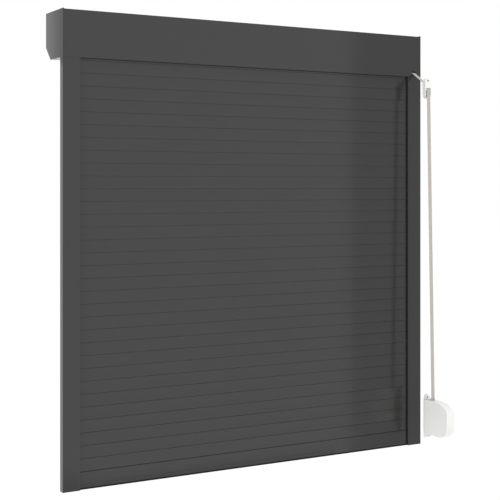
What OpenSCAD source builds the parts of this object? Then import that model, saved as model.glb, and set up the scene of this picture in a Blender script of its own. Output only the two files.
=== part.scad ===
// Exterior roller shutter with a strap drive, shown closed.
// X runs along the width, Y points from the room to the outside and Z points up.
// The origin is the centre of the box's rear face, which lies on the outside of the wall.

/* [Overall] */
// Width over the outer faces of the end caps
overall_w = 1280; // [1000:10:2000]

/* [Box] */
// Height of the box
box_h = 137; // [134:1:180]
// Depth of the box from the wall
box_d = 137; // [134:1:180]
// Leg of the sloping lower outside edge
box_chamfer = 39; // [25:1:45]
// Thickness of the box panels
panel_t = 1.4; // [1:0.1:2]
// Thickness of an end cap's plate
cap_t = 4; // [3:0.5:5]
// How far an end cap's rim stands out of the panels
cap_rim = 2; // [0.5:0.5:3]

/* [Guide rails] */
// Width of a rail, seen from the room
rail_w = 53; // [50:1:60]
// Depth of a rail
rail_d = 22; // [21:0.5:26]
// Wall thickness of a rail
rail_wall = 1.6; // [1.2:0.1:2]
// Depth of the channel that the slats run in
channel_depth = 29; // [27:0.5:30]

/* [Curtain] */
// Number of slats, the last one inside the box inlet
slat_count = 33; // [22:1:44]
// Height that each slat adds to the curtain
slat_pitch = 37; // [34:0.5:42]
// Thickness of a slat
slat_t = 8.5; // [8:0.1:9.5]
// Wall thickness of a slat
slat_wall = 0.7; // [0.5:0.05:0.9]
// How far the slat ends reach into the rails
slat_insert = 13.5; // [11:0.5:13.5]
// Height of the bottom bar with its seal
bar_h = 52.5; // [44:0.5:60]
// Height of the seal under the bottom bar
seal_h = 5; // [3:0.5:7]

/* [Barrel] */
// Size of the octagonal barrel across its flats
barrel_af = 40; // [36:1:44]
// Wall thickness of the barrel
barrel_wall = 1; // [0.8:0.1:1.5]
// Flange radius of the strap pulley
pulley_r = 52; // [49:0.5:53]
// Outer radius of the strap turns on the pulley
pulley_turns_r = 46; // [40:0.5:47]

/* [Strap] */
// Width of the strap
strap_w = 14; // [12:0.5:14.5]
// Thickness of the strap
strap_t = 1.2; // [0.8:0.1:1.4]
// From the right end cap's outer face to the middle of the strap
strap_inset = 29; // [28:0.5:29]
// Height of the strap inlet above the box's lower edge
strap_exit_up = 14; // [12:0.5:15]
// From the box's rear face to the room face of the wall
wall_t = 66; // [50:1:150]

/* [Strap guide] */
// Height of the guide body
guide_h = 66; // [64:1:80]
// Width of the guide body
guide_w = 24; // [24:0.5:27]
// Depth of the guide body
guide_d = 15; // [14.5:0.5:18]
// From the box's lower edge to the middle of the guide roller
guide_drop = 40.5; // [38:0.5:60]
// Radius of the guide roller
guide_roller_r = 5; // [4:0.25:6]
// Distance between the guide's two screw holes
guide_hole_span = 44; // [43:0.5:48]

/* [Winder] */
// Height of the spool's axis above the rails' feet
winder_up = 109.5; // [90:0.5:600]
// From the wall to the spool's axis
winder_reach = 72.5; // [71:0.5:76]
// From the spool's axis to the front of the case
winder_front = 56; // [54:0.5:59]
// From the spool's axis to the top of the case
winder_top = 57; // [55:0.5:60]
// From the spool's axis to the foot of the case
winder_foot = 55; // [53:0.5:58]
// Radius of the long slope over the strap spool
slope_r = 110; // [100:1:130]
// Radius of the upper front edge
brow_r = 30; // [28:0.5:34]
// Radius of the lower front edge
chin_r = 43; // [36:0.5:46]
// Thickness of the case
winder_t = 30; // [28:0.5:30]
// Wall thickness of the case
winder_wall = 2; // [1.6:0.1:2.4]
// From the wall to the pivot axis
pivot_reach = 22; // [21.5:0.5:23]
// From the wall to the back of the case
case_gap = 7; // [6:0.5:8]
// Flange radius of the spool
spool_r = 45; // [42:0.5:46]
// Outer radius of the strap turns on the spool
spool_turns_r = 33.4; // [31:0.2:34.4]
// Radius of a wall screw hole
wall_hole_r = 2.25; // [2:0.05:2.75]

/* [Hidden] */
$fn = 64;
// Play between pieces that slide or turn past each other
play = 0.3;
// Play between pieces that sit against each other
seat = 0.1;
// Radial play of a shaft in its bearing
run = 0.05;
// Radial play of a pressed fit
press = 0.02;

half_w = overall_w / 2;
box_top = box_h / 2;
box_bottom = -box_h / 2;
panel_half = half_w - cap_t;
lip_t = 1.5;
lip_depth = 10;
cover_screw_r = 2;
cover_screw_len = 7;
cover_head_r = 3.6;
cover_head_t = 1.5;
cover_screw_x = panel_half - lip_depth / 2;
cover_screw_ys = [box_d / 3, box_d - box_chamfer - 14];

inlet_gap = 6;
rail_h = bar_h + (slat_count - 1) * slat_pitch + inlet_gap;
rail_bottom = box_bottom - rail_h;
rail_inner = half_w - rail_w;
curtain_y = rail_d / 2;
inlet_y = rail_d + 2;
rib_t = 1.2;
rib_pitch = 6.8;
brush_base_t = 1.6;
funnel_h = 26;
funnel_t = 1.6;
end_plug_h = 15;
chamber_in = rail_inner + channel_depth + rail_wall;
chamber_out = half_w - rail_wall;

slat_gap = 1;
bar_gap = 2.3;
slat_body = slat_pitch - slat_gap;
slat_half = rail_inner + slat_insert;
slat_bow = 1.2;
slat_hollow = 0.8;
first_joint = rail_bottom + bar_h;
hook_rise = 4;
bead_r = 1.5;
neck_t = 1;
pocket_h = 7;
pocket_w = 4.8;
lip_gap = 2;
slat_groups = 11;
bar_wall = 1.3;
bar_guide_t = 6;
bar_guide_in = 20;
seal_slot_w = 3;
seal_foot_w = 5.4;
seal_foot_t = 2;
stop_r = 9;
stop_len = 28;
stop_in = 110;
stop_x = slat_half - stop_in;
stop_z = rail_bottom + bar_h / 2 + 2;
stop_screw_r = 2;
stop_sink = 6;

barrel_y = box_d / 2 + 2.5;
flat_turn = 22.5;
boss_r = 18;
boss_len = 12;
boss_in = panel_half - boss_len;
bearing_r = 14;
bearing_w = 8;
bearing_in = 0.5;
journal_r = 6;
pulley_hub_r = 28;
pulley_flange_t = 1.2;
pulley_half = strap_w / 2 + 0.6 + pulley_flange_t;
barrel_left = -(boss_in - 6);
tongue_len = 50;
spigot_len = 60;
spigot_lap = 1;
spigot_w = chamber_out - chamber_in - 2 * play;
spigot_d = rail_d - 2 * (rail_wall + play);
hanger_w = 20;
hanger_t = 0.8;
hanger_lap = 8;
hanger_r = 0.6 * (barrel_y - curtain_y);
hanger_top = barrel_af / 2 + play + hanger_t / 2;
hanger_foot = box_bottom - inlet_gap + slat_pitch + hook_rise + bead_r + play;
hanger_xs = [-0.66 * slat_half, 0, 0.66 * slat_half];

strap_x = half_w - strap_inset;
strap_kink = [3, box_bottom + strap_exit_up];
slot_w = strap_w + 4;
block_in = max(chamber_in, strap_x + slot_w / 2) + 1;
block_h = 14;
slot_up = 5;
slot_down = 7;
bush_wall = 1.3;
bush_len = 6;

wall_y = -wall_t;
guide_x = strap_x - 2.5;
guide_face = wall_y - guide_d;
guide_face_t = 1.2;
roller_y = guide_face + guide_roller_r + 3.1;
roller_z = box_bottom - guide_drop;
roller_pin_r = 1.5;
guide_mid = roller_z - 4;
guide_hole_mid = roller_z - 0.5;
guide_wall = 2;
hollow_up = 15;
hollow_down = 9;
groove_d = 5;
groove_down = 2.5;
roller_len = guide_w - 2 * guide_wall - 1;
pin_in = 1.5;
sink_r = 3.6;
sink_t = 6;

spool_y = wall_y - winder_reach;
spool_z = rail_bottom + winder_up;
slope_start = 58.5;
pivot_y = wall_y - pivot_reach;
case_back = wall_y - case_gap;
case_front = spool_y - winder_front;
block_top = spool_z + winder_top;
block_foot = spool_z - winder_foot;
slope_c = [wall_y - slope_start, block_top - slope_r];
brow_dy = slope_c[0] - (case_front + brow_r);
brow_c = [case_front + brow_r, slope_c[1] + sqrt(pow(slope_r - brow_r, 2) - brow_dy * brow_dy)];
brow_end = slope_c + slope_r * (brow_c - slope_c) / norm(brow_c - slope_c);
chin_c = [case_front + chin_r, block_foot + chin_r];
back_round = 2.5;
front_round = 4;
spool_half = strap_w / 2 + 2;
spool_flange_t = 1.2;
drum_r = 26;
drum_wall = 1.5;
axle_r = 4;
axle_boss_r = 7;
pivot_r = 2.5;
pivot_boss_r = 6;
pivot_in = 9;
inlet_d = 8;
inlet_up = 20;
case_reach = 4 * winder_front;
ear_gap = 0.6;
ear_t = 2.5;
ear_r = 11;
tab_r = 9.5;
foot_hole_down = 10;
foot_down = 17;
cheek_t = 2;
tab_t = 1.4;
tab_pad_t = 7;
tab_hole_up = 6;
plate_half = 10.5;
case_screw_r = 1.5;
case_screw_boss_r = 4.2;
case_sink = 2;
case_screw_up = 30;
case_screw_out = 12.5;
case_screw_spots = [
  [wall_y - case_screw_out, spool_z + case_screw_up],
  [wall_y - case_screw_out, spool_z - case_screw_up],
  [case_front + winder_wall + 2.5, spool_z]
];
spring_turns = 7;
spring_t = 0.5;
spring_in = axle_boss_r + 1.5;
spring_out = drum_r - drum_wall - 0.8;
spring_steps = 20;

dark = [0.26, 0.26, 0.27];
dark_plastic = [0.14, 0.14, 0.15];
pile_grey = [0.2, 0.2, 0.2];
rubber_black = [0.08, 0.08, 0.08];
zinc = [0.72, 0.73, 0.75];
white_plastic = [0.93, 0.93, 0.91];
strap_beige = [0.74, 0.73, 0.69];

// Point on a circle where a line from point p touches it, on the chosen side
function touch(p, c, r, side) =
  let (a = atan2(p[1] - c[1], p[0] - c[0]) + side * acos(r / norm(p - c)))
  c + r * turned(a);

// Angle at which a crossing tangent leaves circle c for circle d
function cross_angle(c, rc, d, rd) =
  atan2(d[1] - c[1], d[0] - c[0]) - acos((rc + rd) / norm(d - c));

function turned(a) = [cos(a), sin(a)];

// Direction of a route's leg that ends at point i
function leg(route, i) =
  let (k = max(1, min(i, len(route) - 1)))
  (route[k] - route[k - 1]) / norm(route[k] - route[k - 1]);

// Point beside corner i of a route, at a distance d from both of its legs
function beside(route, i, d) =
  let (sum = leg(route, i) + leg(route, i + 1))
  let (u = sum / norm(sum))
  route[i] + d / (u * leg(route, i)) * [-u[1], u[0]];

function box_points(inset, back) = [
  [back, box_bottom + inset],
  [box_d - box_chamfer - inset * tan(22.5), box_bottom + inset],
  [box_d - inset, box_bottom + box_chamfer + inset * tan(22.5)],
  [box_d - inset, box_top - inset],
  [back, box_top - inset]
];

pulley_c = [barrel_y, 0];
pulley_line_r = pulley_turns_r + play + strap_t / 2;
roller_c = [roller_y, roller_z];
roller_line_r = guide_roller_r + play + strap_t / 2;
spool_c = [spool_y, spool_z];
spool_line_r = spool_turns_r + play + strap_t / 2;
strap_start = touch(strap_kink, pulley_c, pulley_line_r, 1);
strap_on_roller = touch(strap_kink, roller_c, roller_line_r, 1);
wrap_from = atan2(strap_on_roller[1] - roller_z, strap_on_roller[0] - roller_y);
wrap_to = cross_angle(roller_c, roller_line_r, spool_c, spool_line_r) + 360;
wrap_steps = 8;
strap_off_roller = roller_c + roller_line_r * turned(wrap_to);
strap_end = spool_c - spool_line_r * turned(wrap_to);

// Extrudes a Y-Z outline along X from x0 to x1
module along_x(x0, x1) {
  translate([x0, 0, 0])
    rotate([90, 0, 90])
      linear_extrude(x1 - x0)
        children();
}

// Extrudes an X-Z outline along Y from y0 to y1
module along_y(y0, y1) {
  translate([0, y1, 0])
    rotate([90, 0, 0])
      linear_extrude(y1 - y0)
        children();
}

// Round bar along X at a Y-Z place
module bar_x(x0, x1, place, r) {
  along_x(x0, x1)
    translate(place)
      circle(r);
}

// Octagonal bar along X on the barrel's axis, with a flat on top
module octagon_x(x0, x1, across) {
  along_x(x0, x1)
    translate(pulley_c)
      rotate(flat_turn)
        circle(across / 2 / cos(flat_turn), $fn = 8);
}

// Rectangle between two corners
module box2(x0, y0, x1, y1) {
  translate([x0, y0])
    square([x1 - x0, y1 - y0]);
}

// Flat strip of the strap's thickness between two points
module strip(p, q, t) {
  n = [p[1] - q[1], q[0] - p[0]] / norm(q - p) * t / 2;
  polygon([p + n, q + n, q - n, p - n]);
}

module mirrored(left) {
  mirror([left ? 1 : 0, 0, 0])
    children();
}

// Box

module box_rear_panel() {
  plate_top = box_top - panel_t - seat;
  color(dark)
    difference() {
      along_x(-panel_half + seat, panel_half - seat) {
        box2(0, box_bottom, panel_t, plate_top);
        box2(0, plate_top - panel_t, 12, plate_top);
      }
      translate([strap_x - slot_w / 2, -1, strap_kink[1] - slot_down])
        cube([slot_w, panel_t + 2, slot_up + slot_down]);
    }
}

module box_front_panel() {
  edge = box_bottom + box_chamfer + 1;
  color(dark)
    along_x(-panel_half + seat, panel_half - seat) {
      box2(0, box_top - panel_t, box_d, box_top);
      box2(box_d - panel_t, edge, box_d, box_top);
    }
}

module box_inspection_cover() {
  color(dark)
    difference() {
      along_x(-panel_half + seat, panel_half - seat)
        difference() {
          polygon(box_points(0, inlet_y));
          polygon(box_points(panel_t, inlet_y + panel_t));
          box2(0, box_bottom + box_chamfer + 1 - seat, box_d + 1, box_top + 1);
          box2(0, box_bottom + 8, inlet_y + 2 * panel_t, box_top + 1);
        }
      for (left = [true, false])
        mirrored(left)
          cover_screw_places()
            screw_hole();
    }
}

// End plate with its locating lip, bearing boss and the tongue that enters the rail
module end_cap(left) {
  color(dark)
    mirrored(left)
      difference() {
        union() {
          along_x(panel_half, half_w)
            intersection() {
              polygon(box_points(-cap_rim, 0));
              box2(0, box_bottom, box_d + 2 * cap_rim, box_top + 2 * cap_rim);
            }
          along_x(panel_half - lip_depth, panel_half)
            difference() {
              polygon(box_points(panel_t + seat, panel_t + seat));
              polygon(box_points(panel_t + seat + lip_t, panel_t + seat + lip_t));
              box2(0, box_top - 2 * panel_t - lip_t, 14, box_top);
              box2(0, box_bottom, inlet_y + 2 * panel_t, box_bottom + 9);
            }
          bar_x(boss_in, panel_half, pulley_c, boss_r);
          translate([block_in, rail_wall + 1, box_bottom])
            cube([half_w - block_in - 1, rail_d - 2 * rail_wall - 2, block_h]);
          translate([chamber_in + play, rail_wall + play, box_bottom - spigot_len])
            cube([spigot_w, spigot_d, spigot_len + spigot_lap]);
        }
        bar_x(boss_in - 1, boss_in + bearing_w + 1, pulley_c, bearing_r + press);
        cover_screw_places()
          screw_hole();
      }
}

// Places of the screws that hold the inspection cover to one end cap
module cover_screw_places() {
  for (y = cover_screw_ys)
    translate([cover_screw_x, y, box_bottom])
      children();
}

module screw_hole() {
  translate([0, 0, -1])
    cylinder(r = cover_screw_r + run, h = cover_screw_len + 3);
}

// Pan head screws through the cover into the end caps' lips
module cover_screws() {
  color(zinc)
    for (left = [true, false])
      mirrored(left)
        cover_screw_places() {
          cylinder(r = cover_screw_r, h = cover_screw_len);
          translate([0, 0, -cover_head_t])
            cylinder(r = cover_head_r, h = cover_head_t);
        }
}

// Pile strip on the upright edge of the inspection cover
module inlet_brush() {
  color(pile_grey)
    along_x(-rail_inner + 2, rail_inner - 2)
      box2(curtain_y + slat_t / 2 + play, box_bottom + 1, inlet_y - seat, box_bottom + 7);
}

// Strap slot's outline in X-Z, drawn in by a wall
module bush_outline(wall) {
  half = slot_w / 2 - wall;
  z0 = strap_kink[1] - slot_down + wall;
  z1 = strap_kink[1] + slot_up - wall;
  box2(strap_x - half, z0, strap_x + half, z1);
}

module strap_inlet_bush() {
  color(dark_plastic)
    along_y(0, bush_len)
      difference() {
        bush_outline(seat);
        bush_outline(bush_wall);
      }
}

// Barrel

module barrel_bearing(left) {
  x0 = boss_in + bearing_in;
  color(zinc)
    mirrored(left)
      difference() {
        bar_x(x0, x0 + bearing_w, pulley_c, bearing_r);
        bar_x(x0 - 1, x0 + bearing_w + 1, pulley_c, journal_r + run);
      }
}

module barrel_tube() {
  color(zinc)
    difference() {
      octagon_x(barrel_left, strap_x - pulley_half - 1, barrel_af);
      octagon_x(barrel_left - 1, strap_x, barrel_af - 2 * barrel_wall);
    }
}

// Plug in the barrel's left end
module barrel_end_plug() {
  color(dark_plastic)
    difference() {
      union() {
        octagon_x(barrel_left - 1, barrel_left + tongue_len, barrel_af - 2 * barrel_wall - 2 * seat);
        octagon_x(barrel_left - 2, barrel_left - seat, barrel_af);
      }
      bar_x(barrel_left - 3, barrel_left + tongue_len + 1, pulley_c, journal_r + run);
    }
}

module barrel_end_pin() {
  color(zinc)
    bar_x(-(boss_in + bearing_w), barrel_left + tongue_len - 2, pulley_c, journal_r);
}

// Pulley with its octagonal tongue in the barrel and its journal in the right bearing
module strap_pulley() {
  x0 = strap_x - pulley_half;
  x1 = strap_x + pulley_half;
  color(dark_plastic) {
    octagon_x(x0 - tongue_len, x0, barrel_af - 2 * barrel_wall - 2 * seat);
    bar_x(x0, x0 + pulley_flange_t, pulley_c, pulley_r);
    bar_x(x0, x1, pulley_c, pulley_hub_r);
    bar_x(x1 - pulley_flange_t, x1, pulley_c, pulley_r);
    bar_x(x1 - 1, boss_in + bearing_w, pulley_c, journal_r);
  }
}

module pulley_strap_turns() {
  color(strap_beige)
    difference() {
      bar_x(strap_x - strap_w / 2, strap_x + strap_w / 2, pulley_c, pulley_turns_r);
      bar_x(strap_x - strap_w, strap_x + strap_w, pulley_c, pulley_hub_r + seat);
    }
}

// Steel strips from the barrel's top flat, round and down to the last slat
module spring_hangers() {
  bend = [curtain_y + hanger_r, hanger_top - hanger_r];
  color(zinc)
    for (x = hanger_xs)
      along_x(x - hanger_w / 2, x + hanger_w / 2) {
        strip([curtain_y, hanger_foot], [curtain_y, bend[1]], hanger_t);
        translate(bend)
          intersection() {
            difference() {
              circle(hanger_r + hanger_t / 2);
              circle(hanger_r - hanger_t / 2);
            }
            box2(-2 * hanger_r, 0, 0, 2 * hanger_r);
          }
        strip([bend[0], hanger_top], [barrel_y + hanger_lap, hanger_top], hanger_t);
      }
}

// Guide rails

// Rail outline in X-Y: a screw chamber outside and an open channel with brush ribs inside
module rail_outline() {
  difference() {
    box2(rail_inner, 0, half_w, rail_d);
    box2(chamber_in, rail_wall, chamber_out, rail_d - rail_wall);
    box2(rail_inner - 1, rail_wall, rail_inner + channel_depth, rail_d - rail_wall);
  }
  for (x = [rail_inner, rail_inner + rib_pitch], y = [rail_wall - seat, rail_d - rail_wall - 2])
    translate([x, y])
      square([rib_t, 2 + seat]);
}

module guide_rail(left) {
  color(dark)
    mirrored(left)
      translate([0, 0, rail_bottom])
        linear_extrude(rail_h)
          rail_outline();
}

// Two pile strips in the ribs at the channel's mouth
module rail_brushes(left) {
  base_w = rib_pitch - rib_t - 2 * seat;
  pile_w = base_w / 2;
  x0 = rail_inner + rib_t + seat;
  tip = curtain_y - slat_t / 2 - play;
  color(pile_grey)
    mirrored(left)
      translate([0, 0, rail_bottom])
        linear_extrude(rail_h)
          for (back = [0, 1])
            translate([0, back * rail_d])
              mirror([0, back]) {
                box2(x0, rail_wall + seat, x0 + base_w, rail_wall + seat + brush_base_t);
                box2(x0 + pile_w / 2, rail_wall + seat, x0 + 1.5 * pile_w, tip);
              }
}

// Flared lead-in on top of a rail, joined below the flare by a web beyond the bar's guides
module inlet_funnel(left) {
  back = rail_wall + 1;
  near = curtain_y - slat_t / 2 - 1;
  far = curtain_y + slat_t / 2 + 1;
  front = inlet_y - 4;
  web = slat_half + bar_guide_t + 0.7;
  low = box_bottom;
  mid = box_bottom + 5;
  high = box_bottom + funnel_h;
  color(dark_plastic)
    mirrored(left) {
      along_x(rail_inner + 2, slat_half + 0.9) {
        polygon([[back, low], [near, low], [near - 1.5, high], [back, high]]);
        polygon([[far, low], [front, low], [front + 8, high], [far + 4, high]]);
      }
      along_x(slat_half, web) {
        box2(back, low, near - 0.3, mid);
        box2(far + 0.8, low, front, mid);
      }
      along_x(web - seat, web + funnel_t)
        box2(back, low, front, mid);
    }
}

module rail_end_plugs() {
  color(dark_plastic)
    for (left = [true, false])
      mirrored(left)
        translate([chamber_in + seat, rail_wall + seat, rail_bottom])
          cube([chamber_out - chamber_in - 2 * seat, rail_d - 2 * (rail_wall + seat), end_plug_h]);
}

// Curtain

// Hook on the upper edge of a slat or bar, rooted in its wall and reaching into the slat above
module hook_outline(top, root) {
  box2(-neck_t / 2, root, neck_t / 2, top + slat_gap + hook_rise);
  translate([0, top + slat_gap + hook_rise])
    circle(bead_r);
}

// Space between a flat room side and a bowed outside, thinned by a wall
module bowed_outline(z0, z1, wall, dish) {
  bow_r = slat_pitch * slat_pitch / 8 / slat_bow;
  dish_r = slat_pitch * slat_pitch / 8 / slat_hollow;
  mid = slat_body / 2;
  difference() {
    intersection() {
      box2(-slat_t / 2 + wall, z0, slat_t / 2, z1);
      translate([slat_t / 2 - bow_r, mid])
        circle(bow_r - wall, $fn = 256);
    }
    translate([-slat_t / 2 + slat_hollow - dish_r, mid])
      circle(dish_r + dish, $fn = 256);
  }
}

// Slat outline in Y-Z about the curtain's plane, standing on its joint line
module slat_outline() {
  hook_outline(slat_body, slat_body - slat_wall / 2);
  difference() {
    bowed_outline(0, slat_body, 0, 0);
    bowed_outline(pocket_h + slat_wall, slat_body - slat_wall, slat_wall, slat_wall);
    box2(-pocket_w / 2, slat_wall, pocket_w / 2, pocket_h);
    box2(-lip_gap / 2, -1, lip_gap / 2, 1);
  }
}

// One of the groups that the curtain's slats are counted in, from the bottom
module slat_group(k) {
  from = floor(k * slat_count / slat_groups);
  to = floor((k + 1) * slat_count / slat_groups) - 1;
  color(dark)
    for (i = [from : to])
      translate([0, curtain_y, first_joint + i * slat_pitch])
        along_x(-slat_half, slat_half)
          slat_outline();
}

// Hollow bar with a hook on top and a slot for the seal below
module bottom_bar() {
  foot = seal_h;
  top = bar_h - bar_gap;
  core = slat_t / 2 - bar_wall;
  color(dark)
    translate([0, curtain_y, rail_bottom])
      along_x(-slat_half, slat_half) {
        hook_outline(bar_h - slat_gap, top - bar_wall / 2);
        difference() {
          box2(-slat_t / 2, foot, slat_t / 2, top);
          box2(-core, foot + 2 * bar_wall + seal_foot_t + 1, core, top - bar_wall);
          box2(-core, foot + bar_wall, core, foot + bar_wall + seal_foot_t + 0.6);
          box2(-seal_slot_w / 2, foot - 1, seal_slot_w / 2, foot + bar_wall + 1);
          box2(-slat_t / 2 - 1, foot + 10.5, -slat_t / 2 + 0.6, foot + 11.5);
        }
      }
}

// Rubber lip with a foot in the bar's slot
module bottom_seal() {
  foot = seal_h;
  half = slat_t / 2;
  color(rubber_black)
    translate([0, curtain_y, rail_bottom])
      along_x(-slat_half + 1, slat_half - 1) {
        box2(-half, 0, half, foot - seat);
        box2(-seal_slot_w / 2 + seat, foot - 1, seal_slot_w / 2 - seat, foot + bar_wall + seat + 1);
        box2(-seal_foot_w / 2, foot + bar_wall + seat, seal_foot_w / 2, foot + bar_wall + seal_foot_t);
      }
}

// Plastic ends that keep the bar straight in the rails
module bottom_bar_guides() {
  core = slat_t / 2 - bar_wall - seat;
  low = seal_h + 2 * bar_wall + seal_foot_t + 1 + seat;
  high = bar_h - bar_gap - bar_wall - seat;
  color(dark_plastic)
    translate([0, curtain_y, rail_bottom])
      for (left = [true, false])
        mirrored(left) {
          along_x(slat_half - bar_guide_in, slat_half + 1)
            box2(-core, low, core, high);
          along_x(slat_half + seat, slat_half + bar_guide_t)
            box2(-slat_t / 2, seal_h, slat_t / 2, bar_h - bar_gap);
        }
}

// Rubber stops on the outside of the bar, which meet the box when the curtain is up
module bottom_stops() {
  y0 = curtain_y + slat_t / 2 + seat / 2;
  color(dark_plastic)
    for (x = [-stop_x, stop_x])
      translate([x, 0, stop_z])
        difference() {
          along_y(y0, y0 + stop_len)
            circle(stop_r);
          along_y(y0 - 1, y0 + stop_len)
            circle(stop_screw_r + seat);
          along_y(y0 + stop_len - stop_sink, y0 + stop_len + 1)
            circle(2 * stop_screw_r + 0.5);
        }
}

module stop_screws() {
  y0 = curtain_y + slat_t / 2 + seat / 2;
  color(zinc)
    for (x = [-stop_x, stop_x])
      translate([x, 0, stop_z]) {
        along_y(y0, y0 + stop_len - stop_sink + 1)
          circle(stop_screw_r);
        along_y(y0 + stop_len - stop_sink + seat, y0 + stop_len - stop_sink + 2)
          circle(2 * stop_screw_r);
      }
}

// Strap

// From the pulley through the box's rear panel and the wall, over the guide roller
module strap_upper() {
  route = concat([strap_start, strap_kink], [
    for (i = [0 : wrap_steps])
      roller_c + roller_line_r * turned(wrap_from + (wrap_to - wrap_from) * i / wrap_steps)
  ]);
  last = len(route) - 1;
  color(strap_beige)
    along_x(strap_x - strap_w / 2, strap_x + strap_w / 2)
      polygon(concat(
        [for (i = [0 : last]) beside(route, i, strap_t / 2)],
        [for (i = [last : -1 : 0]) beside(route, i, -strap_t / 2)]
      ));
}

module strap_lower() {
  color(strap_beige)
    along_x(strap_x - strap_w / 2, strap_x + strap_w / 2)
      strip(strap_off_roller, strap_end, strap_t);
}

// Strap guide

// Guide body's outline in X-Z with round ends
module guide_outline() {
  r = guide_w / 2;
  translate([guide_x, guide_mid]) {
    box2(-r, -guide_h / 2 + r, r, guide_h / 2 - r);
    for (z = [-1, 1])
      translate([0, z * (guide_h / 2 - r)])
        circle(r);
  }
}

module strap_guide() {
  inner = guide_w / 2 - guide_wall;
  color(white_plastic)
    difference() {
      along_y(guide_face, wall_y)
        guide_outline();
      along_y(guide_face + guide_face_t, wall_y + 1)
        box2(guide_x - inner, roller_z - hollow_down, guide_x + inner, roller_z + hollow_up);
      along_y(guide_face - 1, guide_face + groove_d)
        box2(guide_x - inner, guide_mid - guide_h, guide_x + inner, roller_z - groove_down);
      bar_x(guide_x - inner - pin_in, guide_x + inner + pin_in, roller_c, roller_pin_r + press);
      for (z = [-0.5, 0.5])
        translate([guide_x, guide_face, guide_hole_mid + z * guide_hole_span])
          rotate([-90, 0, 0]) {
            translate([0, 0, -1])
              cylinder(r = wall_hole_r, h = guide_d + 2);
            translate([0, 0, -0.01])
              cylinder(r = sink_r, h = sink_t);
          }
    }
}

module strap_guide_roller() {
  color(white_plastic)
    difference() {
      bar_x(guide_x - roller_len / 2, guide_x + roller_len / 2, roller_c, guide_roller_r);
      bar_x(guide_x - roller_len, guide_x + roller_len, roller_c, roller_pin_r + run);
    }
}

module strap_guide_pin() {
  half = guide_w / 2 - guide_wall + pin_in - seat;
  color(zinc)
    bar_x(guide_x - half, guide_x + half, roller_c, roller_pin_r);
}

// Winder

// Case's side outline in Y-Z, drawn in by a wall: flat top, long slope, round brow and chin
module case_outline(wall) {
  top = block_top - wall;
  foot = block_foot + wall;
  front = case_front + wall;
  box2(slope_c[0], foot, case_back - wall, top);
  intersection() {
    translate(slope_c)
      circle(slope_r - wall);
    box2(brow_end[0], chin_c[1], slope_c[0], top + 1);
  }
  translate(brow_c)
    circle(brow_r - wall);
  translate(chin_c)
    circle(chin_r - wall);
  box2(front, chin_c[1], brow_c[0], brow_c[1]);
  box2(chin_c[0], foot, slope_c[0], chin_c[1]);
}

// Case's plan outline in X-Y with rounded corners, drawn in by a wall
module case_plan(wall) {
  half = winder_t / 2 - wall;
  rb = back_round - wall;
  rf = front_round - wall;
  y0 = case_front + wall;
  y1 = case_back - wall;
  translate([strap_x, 0]) {
    box2(-half, y0 + rf, half, y1 - rb);
    box2(-half + rb, y0 + rf, half - rb, y1);
    box2(-half + rf, y0, half - rf, y1 - rb);
    for (x = [-1, 1]) {
      translate([x * (half - rb), y1 - rb])
        circle(rb);
      translate([x * (half - rf), y0 + rf])
        circle(rf);
    }
  }
}

module case_solid(wall) {
  intersection() {
    along_x(strap_x - winder_t / 2 + wall, strap_x + winder_t / 2 - wall)
      case_outline(wall);
    translate([0, 0, block_foot - 1])
      linear_extrude(block_top - block_foot + 2)
        case_plan(wall);
  }
}

// One half of the case, on the left or right of the strap
module winder_case(left) {
  x0 = left ? strap_x - winder_t / 2 - 1 : strap_x;
  x1 = left ? strap_x : strap_x + winder_t / 2 + 1;
  stub_in = spool_half + play;
  strap_in = strap_end[0];
  color(white_plastic)
    intersection() {
      along_x(x0, x1)
        translate(spool_c)
          square(case_reach, center = true);
      difference() {
        union() {
          difference() {
            case_solid(0);
            case_solid(winder_wall);
          }
          intersection() {
            case_solid(0.5);
            union() {
              for (p = case_screw_spots)
                bar_x(strap_x - winder_t, strap_x + winder_t, p, case_screw_boss_r);
              for (x = [strap_x - winder_t, strap_x + stub_in])
                bar_x(x, x + winder_t - stub_in, spool_c, axle_boss_r);
              for (z = [block_foot, block_top - pivot_in])
                translate([strap_x, pivot_y, z])
                  cylinder(r = pivot_boss_r, h = pivot_in);
            }
          }
        }
        bar_x(strap_x - winder_t / 2 + 1, strap_x + winder_t / 2 - 1, spool_c, axle_r + press);
        for (p = case_screw_spots)
          bar_x(strap_x - winder_t / 2 + case_sink, strap_x + winder_t, p, case_screw_r + seat);
        for (p = case_screw_spots)
          bar_x(strap_x + winder_t / 2 - case_sink, strap_x + winder_t, p, 2 * case_screw_r);
        for (z = [block_foot - 1, block_top - pivot_in + 2])
          translate([strap_x, pivot_y, z])
            cylinder(r = pivot_r + run, h = pivot_in - 1);
        translate([strap_x - slot_w / 2, strap_in - inlet_d / 2, spool_z + inlet_up])
          cube([slot_w, inlet_d, winder_top]);
      }
    }
}

module winder_case_screws() {
  x0 = strap_x - winder_t / 2;
  x1 = strap_x + winder_t / 2;
  color(zinc)
    for (p = case_screw_spots) {
      bar_x(x0 + case_sink + seat, x1 - 1, p, case_screw_r);
      bar_x(x1 - case_sink + seat, x1 - 0.4, p, 2 * case_screw_r - seat);
    }
}

module winder_axle() {
  half = winder_t / 2 - 1 - seat;
  color(zinc)
    bar_x(strap_x - half, strap_x + half, spool_c, axle_r);
}

// Drum with two flanges and a bored hub
module winder_spool() {
  x0 = strap_x - spool_half;
  x1 = strap_x + spool_half;
  color(dark_plastic)
    difference() {
      union() {
        bar_x(x0, x0 + spool_flange_t, spool_c, spool_r);
        bar_x(x1 - spool_flange_t, x1, spool_c, spool_r);
        bar_x(x0, x1, spool_c, drum_r);
      }
      difference() {
        bar_x(x0 + spool_flange_t + seat, x1 - spool_flange_t - seat, spool_c, drum_r - drum_wall);
        bar_x(x0, x1, spool_c, axle_boss_r);
      }
      bar_x(x0 - 1, x1 + 1, spool_c, axle_r + run);
    }
}

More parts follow.
